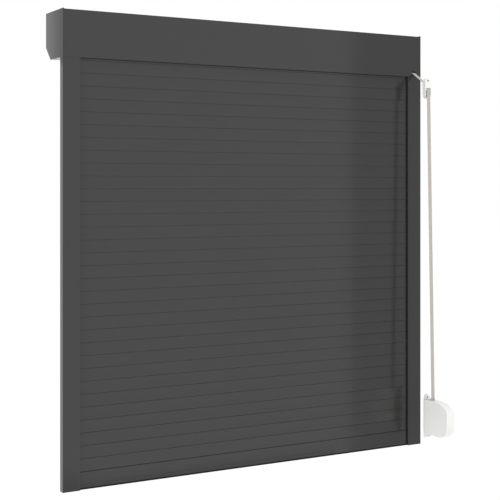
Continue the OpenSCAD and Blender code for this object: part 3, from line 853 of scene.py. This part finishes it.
@dataclass(frozen=True)
class PanScrew:
    """Pan head screw with a cross recess, made along +Z with its head's seat at the origin.

    Attributes:
        head_r: Radius of the head.
        head_h: Height of the head.
        shank_r: Radius of the shank.
        shank_h: Length of the shank.
    """

    HEAD_CURVE = ((0.97, 0.0), (1.0, 0.12), (0.96, 0.5), (0.8, 0.82), (0.5, 0.97), (0.0, 1.0))
    TIP_SHARE = 0.7
    TIP_RISE = 0.5
    SLOT_LENGTH = 1.15
    SLOT_WIDTH = 0.26
    SLOT_HEIGHT = 1.4
    SLOT_MIDDLE = 1.05

    head_r: float
    head_h: float
    shank_r: float
    shank_h: float

    def mesh(self, name: str) -> Mesh:
        """Turn the screw's outline and cut the cross into its head.

        Args:
            name: Name of the mesh.

        Returns:
            The closed mesh.
        """
        r, h = self.head_r, self.head_h
        profile = [(0.0, -self.shank_h), (self.shank_r * self.TIP_SHARE, -self.shank_h),
                   (self.shank_r, -self.shank_h + self.shank_r * self.TIP_RISE), (self.shank_r, 0.0)]
        profile += [(r * out, h * up) for out, up in self.HEAD_CURVE]
        body = show("screw_blank", self._turned(name, profile))
        cross = bmesh.new()
        for angle in (0.0, math.pi / 2):
            bar = bmesh.ops.create_cube(cross, size=1.0)["verts"]
            size = (r * self.SLOT_LENGTH, r * self.SLOT_WIDTH, h * self.SLOT_HEIGHT)
            bmesh.ops.scale(cross, vec=size, verts=bar)
            bmesh.ops.translate(cross, vec=(0, 0, h * self.SLOT_MIDDLE), verts=bar)
            bmesh.ops.rotate(cross, cent=(0, 0, 0), matrix=Matrix.Rotation(angle, 3, "Z"), verts=bar)
        cutter = show("cross_cutter", close_mesh("cross_cutter", cross))
        cut = body.modifiers.new("cross", "BOOLEAN")
        cut.object = cutter
        cut.operation = "DIFFERENCE"
        cut.solver = "EXACT"
        cut.use_self = True
        bpy.context.view_layer.update()
        graph = bpy.context.evaluated_depsgraph_get()
        result = bpy.data.meshes.new_from_object(body.evaluated_get(graph))
        for made in (cutter, body):
            bpy.data.objects.remove(made)
        result.name = name
        return result

    @staticmethod
    def _turned(name: str, profile: Sequence[Point2], sides: int = 32) -> Mesh:
        """Turn an outline of radius and height into a closed mesh.

        Args:
            name: Name of the mesh.
            profile: Radius and height pairs, with both ends on the axis.
            sides: Faces round the axis.

        Returns:
            The mesh.
        """
        shape = bmesh.new()
        rings = []
        for radius, height in profile:
            if radius == 0.0:
                rings.append([shape.verts.new((0, 0, height))])
                continue
            rings.append([shape.verts.new((radius * math.cos(2 * math.pi * i / sides),
                                           radius * math.sin(2 * math.pi * i / sides), height))
                          for i in range(sides)])
        for low, high in zip(rings, rings[1:]):
            for i in range(sides):
                k = (i + 1) % sides
                corners = [low[i % len(low)], low[k % len(low)], high[k % len(high)], high[i % len(high)]]
                shape.faces.new(list(dict.fromkeys(corners)))
        bmesh.ops.recalc_face_normals(shape, faces=shape.faces)
        return close_mesh(name, shape)


def set_screws(name: str, screw: PanScrew, places: Sequence[Matrix], node: str, body: Body) -> None:
    """Place copies of a screw as one piece that stands for a node.

    Args:
        name: Name of the piece.
        screw: The screw.
        places: Where each copy goes.
        node: CAD node that the piece replaces.
        body: Body that it rides on.
    """
    one = screw.mesh(f"{name}_one")
    shape = bmesh.new()
    for place in places:
        copy = one.copy()
        copy.transform(place)
        shape.from_mesh(copy)
        bpy.data.meshes.remove(copy)
    bpy.data.meshes.remove(one)
    piece = add_piece(name, close_mesh(name, shape), ZINC, [node])
    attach(piece, body.value)


@dataclass
class PileStrip:
    """Row of tufts on a backing, along one axis.

    Attributes:
        start: Middle of the backing's near end.
        along: Unit direction of the strip.
        out: Unit direction in which the tufts stand.
        length: Length of the strip.
        tall: Height of the tufts above the backing.
        wide: Thickness of the pile.
        base: Width and thickness of the backing.
        tufts: Number of tufts in a row.
        rows: Rows across the pile.
    """

    ROOT = 0.6
    SHORTEST = 0.86
    SWAY = 0.3
    SWAY_SHARE = 0.4
    TUFT_ENDS = (0.02, 0.98)
    TUFT_HALF = 0.48
    TUFT_TIP = 0.55

    start: Vector
    along: Vector
    out: Vector
    length: float
    tall: float
    wide: float
    base: Point2
    tufts: int
    rows: int = 2

    def build(self, shape: bmesh.types.BMesh, draw: random.Random) -> None:
        """Add backing and tufts to a mesh.

        Args:
            shape: Mesh that is being built.
            draw: Source of the tufts' small differences.
        """
        across = self.along.cross(self.out)
        base_w, base_h = self.base
        self._block(shape, self.start, self.start + self.along * self.length, across * (base_w / 2),
                    self.out * base_h, 1.0)
        step = self.length / self.tufts
        half = across * (self.wide / self.rows * self.TUFT_HALF)
        first, last = self.TUFT_ENDS
        for row in range(self.rows):
            side = across * (self.wide * ((row + 0.5) / self.rows - 0.5))
            for i in range(self.tufts):
                near = self.start + self.along * (step * i) + side + self.out * (base_h * self.ROOT)
                rise = base_h * (1 - self.ROOT) + self.tall * draw.uniform(self.SHORTEST, 1.0)
                lean = self.along * draw.uniform(-self.SWAY, self.SWAY) * step * self.SWAY_SHARE
                self._block(shape, near + self.along * step * first, near + self.along * step * last,
                            half, self.out * rise + lean, self.TUFT_TIP)

    @staticmethod
    def _block(shape: bmesh.types.BMesh, a: Vector, b: Vector, half: Vector, rise: Vector,
               taper: float) -> None:
        """Add one block that narrows towards its tip.

        Args:
            shape: Mesh that is being built.
            a: Middle of one end's foot.
            b: Middle of the other end's foot.
            half: Half width.
            rise: From foot to tip.
            taper: Share of the foot that the tip keeps.
        """
        mid = (a + b) / 2
        foot = [a - half, b - half, b + half, a + half]
        tip = [mid + (p - mid) * taper + rise for p in foot]
        low = [shape.verts.new(p) for p in foot]
        high = [shape.verts.new(p) for p in tip]
        shape.faces.new(list(reversed(low)))
        shape.faces.new(high)
        for i in range(4):
            k = (i + 1) % 4
            shape.faces.new((low[i], low[k], high[k], high[i]))


def lay_pile(name: str, strips: Sequence[PileStrip], node: str, seed: int) -> None:
    """Build pile strips as one piece that stands for a node on the frame.

    Args:
        name: Name of the piece.
        strips: The strips.
        node: CAD node that the piece replaces.
        seed: Seed of the tufts' small differences.
    """
    shape = bmesh.new()
    draw = random.Random(seed)
    for strip in strips:
        strip.build(shape, draw)
    bmesh.ops.recalc_face_normals(shape, faces=shape.faces)
    piece = add_piece(name, close_mesh(name, shape), PILE, [node])
    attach(piece, Body.FRAME.value)


@dataclass
class BoxHousing:
    """Shutter box with its panels, end caps, screws and inlet seal.

    Attributes:
        edge: Softened width of panel edges.
        bush_edge: Softened width of the strap inlet's edges.
        screw: Screws under the inspection cover.
        backing: Thickness of the inlet seal's backing.
        pile: Thickness of its pile.
        tufts: Tufts in a row of it.
        seed: Seed of its tufts.
    """

    edge: float = 0.5 * MM
    bush_edge: float = 0.3 * MM
    screw: PanScrew = PanScrew(head_r=3.6 * MM, head_h=1.5 * MM, shank_r=2.0 * MM, shank_h=7.0 * MM)
    backing: float = 1.6 * MM
    pile: float = 2.4 * MM
    tufts: int = 260
    seed: int = 11

    def build(self) -> None:
        """Build the screws and the inlet seal."""
        low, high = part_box("cover_screws")
        seat = low.z + self.screw.head_h
        inset = self.screw.head_r
        down = Matrix.Rotation(math.pi, 4, "X")
        places = [Matrix.Translation((x, y, seat)) @ down
                  for x in (low.x + inset, high.x - inset) for y in (low.y + inset, high.y - inset)]
        set_screws("cover_screw_set", self.screw, places, "cover_screws", Body.FRAME)
        low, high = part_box("inlet_brush")
        start = Vector((low.x, high.y, (low.z + high.z) / 2))
        tall = high.y - low.y - self.backing
        strip = PileStrip(start, Vector((1, 0, 0)), Vector((0, -1, 0)), high.x - low.x, tall, self.pile,
                          (high.z - low.z, self.backing), self.tufts)
        lay_pile("inlet_pile", [strip], "inlet_brush", self.seed)

    def dress(self) -> None:
        """Give the box its finishes."""
        panels = ["box_rear_panel", "box_front_panel", "box_inspection_cover"]
        dress([*panels, "end_cap_left", "end_cap_right"], COAT, self.edge)
        dress(["strap_inlet_bush"], DARK_PLASTIC, self.bush_edge)


@dataclass
class GuideRails:
    """Side rails with their pile seals, lead-ins and end plugs.

    Attributes:
        edge: Softened width of rail edges.
        trim_edge: Softened width of the lead-ins' and plugs' edges.
        backing: Thickness of a seal's backing.
        pile: Thickness of its pile.
        gap: Free way between the facing piles of a rail.
        tufts: Tufts in a row of each seal.
        seed: Seed of the left rail's tufts, one less than the right rail's.
    """

    edge: float = 0.4 * MM
    trim_edge: float = 0.3 * MM
    backing: float = 1.6 * MM
    pile: float = 2.6 * MM
    gap: float = 9.1 * MM
    tufts: int = 220
    seed: int = 21

    def build(self) -> None:
        """Build the pile seals at the mouths of both rails."""
        for seed, side in enumerate(("left", "right"), start=self.seed):
            node = f"rail_brushes_{side}"
            low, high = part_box(node)
            middle = (low.x + high.x) / 2
            tall = (high.y - low.y - self.gap) / 2 - self.backing
            base = (high.x - low.x, self.backing)
            strips = [PileStrip(Vector((middle, y, low.z)), Vector((0, 0, 1)), Vector((0, way, 0)),
                                high.z - low.z, tall, self.pile, base, self.tufts)
                      for y, way in ((low.y, 1), (high.y, -1))]
            lay_pile(f"rail_pile_{side}", strips, node, seed)

    def dress(self) -> None:
        """Give rails and trim their finishes."""
        dress(["guide_rail_left", "guide_rail_right"], COAT, self.edge)
        dress(["inlet_funnel_left", "inlet_funnel_right", "rail_end_plugs"], DARK_PLASTIC, self.trim_edge)


@dataclass
class Curtain:
    """Slats, bottom bar, seal and stops.

    Attributes:
        groups: Groups that the slats are counted in.
        edge: Softened width of slat edges.
        bar_edge: Softened width of the edges of the bar, its seal and its end guides.
        stop_edge: Softened width of the stops' edges.
        screw: Screws in the rubber stops.
    """

    groups: int = 11
    edge: float = 0.25 * MM
    bar_edge: float = 0.4 * MM
    stop_edge: float = 0.8 * MM
    screw: PanScrew = PanScrew(head_r=4.0 * MM, head_h=1.9 * MM, shank_r=2.0 * MM, shank_h=23.0 * MM)

    def build(self) -> None:
        """Build the screws in the stops."""
        low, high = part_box("stop_screws")
        seat = high.y - self.screw.head_h
        z = (low.z + high.z) / 2
        inset = self.screw.head_r
        face = Matrix.Rotation(-math.pi / 2, 4, "X")
        places = [Matrix.Translation((x, seat, z)) @ face for x in (low.x + inset, high.x - inset)]
        set_screws("stop_screw_set", self.screw, places, "stop_screws", Body.BOTTOM_RAIL)

    def dress(self) -> None:
        """Give the curtain its finishes."""
        dress([f"slats_{i:02d}" for i in range(1, self.groups + 1)], SLAT_COAT, self.edge)
        dress(["bottom_bar"], COAT, self.bar_edge)
        dress(["bottom_seal"], RUBBER, self.bar_edge)
        dress(["bottom_stops"], RUBBER, self.stop_edge)
        dress(["bottom_bar_guides"], DARK_PLASTIC, self.bar_edge)


@dataclass
class Barrel:
    """Barrel with its pulley, bearings, hangers and the strap turns on the pulley.

    Attributes:
        edge: Softened width of its edges.
        core_r: Radius of the pulley's core.
        turns: Strap turns on the pulley.
        leave: Angle at which the strap leaves them, in degrees.
    """

    edge: float = 0.3 * MM
    core_r: float = 28.1 * MM
    turns: float = 13.0
    leave: float = -84.0

    def build(self) -> None:
        """Build the strap wound on the pulley."""
        wind("pulley_webbing", "pulley_strap_turns", Body.BARREL, BARREL_AXIS, self.core_r, self.turns,
             self.leave)

    def dress(self) -> None:
        """Give the barrel its finishes."""
        dress(["barrel_tube", "barrel_end_pin", "barrel_bearing_left", "barrel_bearing_right"], ZINC,
              self.edge)
        dress(["spring_hangers"], ZINC)
        dress(["barrel_end_plug", "strap_pulley"], DARK_PLASTIC, self.edge)


@dataclass
class StrapDrive:
    """Pull strap from the pulley through the wall and over the guide to the winder.

    Attributes:
        x: Middle of the strap on X.
        width: Width of the strap.
        thick: Thickness of the strap.
        pulley_r: Radius of the strap's middle line on the pulley.
        kink: Corner in Y and Z where the strap bends at the box's rear panel.
        kink_r: Run before and after the corner that the bend takes up.
        kink_steps: Points along the bend.
        roller: Guide roller axis in Y and Z.
        roller_r: Radius of the strap's middle line on the roller.
        roller_step: Largest angle between two points on the roller, in degrees.
        spool_r: Radius of the strap's middle line on the spool.
        twist_top: Drop from the roller to where the twist starts; not used.
        twist_foot: Rise from the spool to where the twist ends; not used.
        twist_lean: How far the strap leans into the room over the twist; not used.
        guide_edge: Softened width of the guide's edges.
        roller_edge: Softened width of the roller's edges.
    """

    x: float = 611 * MM
    width: float = 14 * MM
    thick: float = 1.2 * MM
    pulley_r: float = 46.9 * MM
    kink: Point2 = (3 * MM, -54.5 * MM)
    kink_r: float = 7 * MM
    kink_steps: int = 8
    roller: Point2 = (-72.9 * MM, -109 * MM)
    roller_r: float = 5.9 * MM
    roller_step: float = 6.0
    spool_r: float = 34.3 * MM
    twist_top: float = 40 * MM
    twist_foot: float = 60 * MM
    twist_lean: float = 20 * MM
    guide_edge: float = 0.6 * MM
    roller_edge: float = 0.4 * MM

    @staticmethod
    def touch(point: Point2, centre: Point2, radius: float) -> float:
        """Give the angle in degrees at which a line from a point touches a circle."""
        dy, dz = point[0] - centre[0], point[1] - centre[1]
        return math.degrees(math.atan2(dz, dy) + math.acos(radius / math.hypot(dy, dz)))

    @staticmethod
    def on(centre: Point2, radius: float, angle: float) -> Point2:
        """Give the point on a circle at an angle in degrees."""
        turn = math.radians(angle)
        return centre[0] + radius * math.cos(turn), centre[1] + radius * math.sin(turn)

    def route(self) -> Route:
        """Lay the strap's middle line.

        Returns:
            The route from the pulley to the spool.
        """
        leave = self.touch(self.kink, BARREL_AXIS, self.pulley_r)
        meet = self.touch(self.kink, self.roller, self.roller_r)
        dy, dz = SPOOL_AXIS[0] - self.roller[0], SPOOL_AXIS[1] - self.roller[1]
        spread = math.acos((self.roller_r + self.spool_r) / math.hypot(dy, dz))
        off = math.degrees(math.atan2(dz, dy) - spread) + FULL_TURN
        first = self.on(BARREL_AXIS, self.pulley_r, leave)
        second = self.on(self.roller, self.roller_r, meet)
        line = Route([first])
        self._round(line, first, self.kink, second)
        line.straight(second)
        line.turn(self.roller, self.roller_r, meet, off, step=self.roller_step)
        return line.straight(self.on(SPOOL_AXIS, self.spool_r, off - FULL_TURN / 2))

    def _round(self, line: Route, before: Point2, corner: Point2, after: Point2) -> None:
        """Run to a corner and round it with a smooth bend.

        Args:
            line: The route so far.
            before: Where the run starts.
            corner: The corner.
            after: Where the next run goes.
        """
        legs = []
        for end in (before, after):
            size = math.dist(end, corner)
            legs.append(((end[0] - corner[0]) / size, (end[1] - corner[1]) / size))
        near = tuple(c + self.kink_r * d for c, d in zip(corner, legs[0]))
        far = tuple(c + self.kink_r * d for c, d in zip(corner, legs[1]))
        line.straight(near)
        for i in range(1, self.kink_steps + 1):
            t = i / self.kink_steps
            line.points.append(tuple((1 - t) ** 2 * n + 2 * t * (1 - t) * c + t * t * f
                                     for n, c, f in zip(near, corner, far)))

    def build(self) -> None:
        """Build the strap as one piece from the pulley over the roller to the spool."""
        strip = Ribbon(self.x, self.width, self.thick)
        mesh = strip.mesh("pull_strap", self.route())
        piece = add_piece("pull_strap", mesh, STRAP, ["strap_upper", "strap_lower"])
        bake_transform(piece)

    def dress(self) -> None:
        """Give the strap guide its finishes."""
        dress(["strap_guide"], WHITE_PLASTIC, self.guide_edge)
        dress(["strap_guide_roller"], WHITE_PLASTIC, self.roller_edge)
        dress(["strap_guide_pin"], ZINC)


@dataclass
class StrapWinder:
    """Swivel winder with its bracket, case, spool and spring.

    Attributes:
        edge: Softened width of the case's edges.
        bracket_edge: Softened width of the bracket's edges.
        spool_edge: Softened width of the spool's edges.
        core_r: Radius of the spool's core.
        turns: Strap turns on the spool.
        leave: Angle at which the outer turn ends, in degrees.
        screw: Screws of the case.
    """

    edge: float = 0.8 * MM
    bracket_edge: float = 0.5 * MM
    spool_edge: float = 0.3 * MM
    core_r: float = 26.1 * MM
    turns: float = 5.0
    leave: float = 0.0
    screw: PanScrew = PanScrew(head_r=2.9 * MM, head_h=1.4 * MM, shank_r=1.5 * MM, shank_h=22.0 * MM)

    def build(self) -> None:
        """Build the strap on the spool and the case's screws."""
        wind("spool_webbing", "winder_strap_turns", Body.SPOOL, SPOOL_AXIS, self.core_r, self.turns,
             self.leave)
        low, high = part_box("winder_case_screws")
        seat = high.x - self.screw.head_h
        inset = self.screw.head_r
        face = Matrix.Rotation(math.pi / 2, 4, "Y")
        spots = [(high.y - inset, low.z + inset), (high.y - inset, high.z - inset),
                 (low.y + inset, (low.z + high.z) / 2)]
        places = [Matrix.Translation((seat, y, z)) @ face for y, z in spots]
        set_screws("case_screw_set", self.screw, places, "winder_case_screws", Body.WINDER)

    def dress(self) -> None:
        """Give the winder its finishes."""
        dress(["winder_case_left", "winder_case_right"], WHITE_PLASTIC, self.edge)
        dress(["winder_bracket"], WHITE_PLASTIC, self.bracket_edge)
        dress(["winder_pivot_pins", "winder_axle", "winder_spring"], ZINC)
        dress(["winder_spool"], DARK_PLASTIC, self.spool_edge)


def upright(left: Point2, right: Point2, foot: float, top: float) -> list[Point3]:
    """Give the corners of a card that stands between two places in X and Y, lower edge first."""
    return [(*left, foot), (*right, foot), (*right, top), (*left, top)]


def lying(near: Sequence[Point2], far: Sequence[Point2], height: float) -> list[Point3]:
    """Give the corners of a flat card from its edge at the shutter and its edge towards the room."""
    return [(*place, height) for place in (near[0], near[1], far[1], far[0])]


@dataclass(frozen=True)
class Card:
    """Glowing grey card that only reflections see: it paints a darker reflection on the coat, or a
    reflected shadow at the foot.

    Attributes:
        name: Name of the card.
        corners: Its corners, the first two on its first edge and the others on its last edge.
        tone: Tone past its fades, as a share of white.
        sides: Share of the width over which it fades from white at both sides.
        end: Share of the length over which it fades to white at its last edge.
    """

    UV_NAME = "card"
    UV_CORNERS = ((0, 0), (1, 0), (1, 1), (0, 1))
    BLIND_RAYS = ("camera", "diffuse", "transmission", "volume_scatter", "shadow")

    name: str
    corners: Sequence[Point3]
    tone: float
    sides: float = 0.001
    end: float = 0.001

    def build(self) -> None:
        """Build the card and hide it from all but reflections."""
        mesh = bpy.data.meshes.new(self.name)
        mesh.from_pydata(self.corners, [], [(0, 1, 2, 3)])
        spread = mesh.uv_layers.new(name=self.UV_NAME)
        for loop, place in zip(spread.data, self.UV_CORNERS):
            loop.uv = place
        card = show(self.name, mesh)
        for kind in self.BLIND_RAYS:
            setattr(card, f"visible_{kind}", False)
        mesh.materials.append(self._material())
        LOG.info("set up %s", self.name)

    def _material(self) -> bpy.types.Material:
        """Make the card's glowing grey.

        Returns:
            The material.
        """
        made = bpy.data.materials.new(self.name)
        made.use_nodes = True
        sheet = Sheet(made.node_tree)
        place = sheet.add("ShaderNodeSeparateXYZ")
        sheet.join(sheet.add("ShaderNodeUVMap", uv_map=self.UV_NAME).outputs["UV"], place.inputs[0])
        across = place.outputs["X"]
        side = sheet.math("MINIMUM", across, sheet.math("SUBTRACT", 1.0, across))
        ahead = sheet.math("SUBTRACT", 1.0, place.outputs["Y"])
        mask = sheet.math("MULTIPLY", sheet.rise(side, 0.0, self.sides), sheet.rise(ahead, 0.0, self.end))
        glow = sheet.add("ShaderNodeEmission")
        grey = (self.tone, self.tone, self.tone)
        sheet.join(sheet.blend(mask, WHITE, grey), glow.inputs["Color"])
        sheet.join(glow.outputs["Emission"], made.node_tree.nodes["Material Output"].inputs["Surface"])
        return made


@dataclass(frozen=True)
class Lamp:
    """Square lamp that reflections don't see.

    Attributes:
        name: Name of the lamp.
        place: Where it stands.
        size: Length of its sides.
        power: Its power, in watts.
    """

    name: str
    place: Point3
    size: float
    power: float

    def build(self, target: Point3) -> None:
        """Set the lamp up.

        Args:
            target: Place that it looks at.
        """
        light = bpy.data.lights.new(self.name, "AREA")
        light.shape = "SQUARE"
        light.size = self.size
        light.energy = self.power
        lamp = bpy.data.objects.new(self.name, light)
        lamp.location = self.place
        look = Vector(target) - Vector(self.place)
        lamp.rotation_euler = look.to_track_quat("-Z", "Y").to_euler()
        lamp.visible_glossy = False
        bpy.context.scene.collection.objects.link(lamp)
        LOG.info("set up %s", self.name)


@dataclass
class Studio:
    """Floor, light and camera.

    Attributes:
        sky: Strength of the all-round light.
        lamps: Lamps to the right, to the left, behind the left end and above the strap.
        target: Place on the curtain that the lamps look at.
        cards: Glowing grey cards that only reflections see: painted darker reflections in front of the
            right end and beside the left end, and painted reflected shadow at the foot.
        floor_z: Height of the floor.
        floor_half: Half the length of its sides.
        floor_tones: Limits of its mottled tone.
        floor_roughness: Its roughness.
        floor_glow: Strength of the white that the eye and reflections see on it.
        floor_share: Share of that white.
        camera_at: Place of the camera.
        turn: Camera's turn about Z, in degrees.
        lens: Focal length, in millimetres.
        sensor: Width of the sensor, in millimetres.
        shift: Sideways and vertical shift of the picture.
        far_clip: Farthest distance that the camera sees.
    """

    sky: float = 0.85
    lamps: Sequence[Lamp] = (
        Lamp("key_lamp", (3.0, -4.6, 0.2), size=2.4, power=52.0),
        Lamp("fill_lamp", (-4.2, -0.8, 0.3), size=2.0, power=70.0),
        Lamp("back_lamp", (-1.9, 1.2, -0.2), size=1.0, power=12.0),
        Lamp("top_lamp", (0.6, -0.7, 2.4), size=1.2, power=16.0),
    )
    target: Point3 = (0.1, 0.0, -0.69)
    # Painted reflections: the room and end cards darken the coat's reflection at the right end and on the
    # left end cap.
    cards: Sequence[Card] = (
        Card("room_painted_reflection", upright((0.668, -0.45), (2.668, -0.45), foot=-6.0, top=6.0), tone=0.64,
             sides=0.01),
        Card("end_cap_painted_reflection", upright((-1.33, 0.055), (-0.693, 0.293), foot=-0.06, top=1.0), tone=0.47,
             sides=0.078),
        # Painted shadow: the foot cards put the floor's contact shadow into the coat's reflection at the
        # rail's and bar's foot.
        Card("rail_foot_painted_shadow",
             lying(((-0.66, 0.0), (-0.588, 0.0)), ((-0.548, -0.3), (-0.476, -0.3)), height=-1.312),
             tone=0.63, end=1.0),
        Card("bar_foot_painted_shadow",
             lying(((-0.588, 0.005), (0.3, 0.005)), ((-0.54, -0.125), (0.387, -0.125)), height=-1.3125),
             tone=0.7, end=1.0),
    )
    floor_z: float = -2.2
    floor_half: float = 30.0
    floor_tones: Point2 = (0.93, 0.96)
    floor_roughness: float = 0.9
    floor_glow: float = 1.05
    floor_share: float = 0.86
    camera_at: Point3 = (-1.8183, -3.132, -0.4384)
    turn: float = -29.739
    lens: float = 83.617
    sensor: float = 36.0
    shift: Point2 = (0.00146, -0.12713)
    far_clip: float = 100.0

    def build(self) -> None:
        """Set up floor, light and camera."""
        self._world()
        self._floor()
        for card in self.cards:
            card.build()
        for lamp in self.lamps:
            lamp.build(self.target)
        self._camera()
        bpy.context.scene.view_settings.view_transform = "Standard"

    @staticmethod
    def _seen(sheet: Sheet) -> Socket:
        """Give 1 where the eye, a reflection or glass looks, and 0 for other light.

        Args:
            sheet: Sheet of the tree that uses it.

        Returns:
            The mask's socket.
        """
        path = sheet.add("ShaderNodeLightPath")
        mask = sheet.math("MAXIMUM", path.outputs["Is Camera Ray"], path.outputs["Is Glossy Ray"])
        return sheet.math("MAXIMUM", mask, path.outputs["Is Transmission Ray"])

    def _world(self) -> None:
        """Make an even white surround."""
        world = bpy.data.worlds.new("white_surround")
        bpy.context.scene.world = world
        world.use_nodes = True
        sheet = Sheet(world.node_tree)
        back = world.node_tree.nodes["Background"]
        sheet.feed(WHITE, back.inputs["Color"])
        extra = sheet.math("MULTIPLY", self._seen(sheet), 1.0 - self.sky)
        sheet.join(sheet.math("ADD", extra, self.sky), back.inputs["Strength"])

    def _floor(self) -> None:
        """Make a pale floor that keeps the shadow."""
        shape = bmesh.new()
        bmesh.ops.create_grid(shape, x_segments=8, y_segments=8, size=self.floor_half)
        floor = show("floor", close_mesh("floor", shape))
        floor.location.z = self.floor_z
        made = bpy.data.materials.new("pale_floor")
        made.use_nodes = True
        sheet = Sheet(made.node_tree)
        nodes = made.node_tree.nodes
        surface = nodes["Principled BSDF"]
        surface.inputs["Roughness"].default_value = self.floor_roughness
        surface.inputs["Specular IOR Level"].default_value = 0.0
        cloud = sheet.noise(sheet.place(), scale=2.0, detail=2.0)
        dark, light = ((tone, tone, tone) for tone in self.floor_tones)
        sheet.join(sheet.blend(cloud, dark, light), surface.inputs["Base Color"])
        glow = sheet.add("ShaderNodeEmission")
        glow.inputs["Strength"].default_value = self.floor_glow
        mix = sheet.add("ShaderNodeMixShader")
        sheet.join(sheet.math("MULTIPLY", self._seen(sheet), self.floor_share), mix.inputs["Fac"])
        sheet.join(surface.outputs["BSDF"], mix.inputs[1])
        sheet.join(glow.outputs["Emission"], mix.inputs[2])
        sheet.join(mix.outputs[0], nodes["Material Output"].inputs["Surface"])
        floor.data.materials.append(made)

    def _camera(self) -> None:
        """Set the camera at the photograph's angle."""
        data = bpy.data.cameras.new("photo_view")
        data.sensor_width = self.sensor
        data.lens = self.lens
        data.shift_x, data.shift_y = self.shift
        data.clip_end = self.far_clip
        camera = bpy.data.objects.new("photo_view", data)
        camera.location = self.camera_at
        camera.rotation_euler = (math.pi / 2, 0.0, math.radians(self.turn))
        bpy.context.scene.collection.objects.link(camera)
        bpy.context.scene.camera = camera


def main() -> None:
    """Build and dress the shutter's sub-assemblies in order."""
    logging.basicConfig(level=logging.INFO, format="%(name)s: %(message)s")
    Studio().build()
    for assembly in (BoxHousing(), GuideRails(), Curtain(), Barrel(), StrapDrive(), StrapWinder()):
        assembly.build()
        assembly.dress()
        LOG.info("finished %s", type(assembly).__name__)


if __name__ == "__main__":
    main()
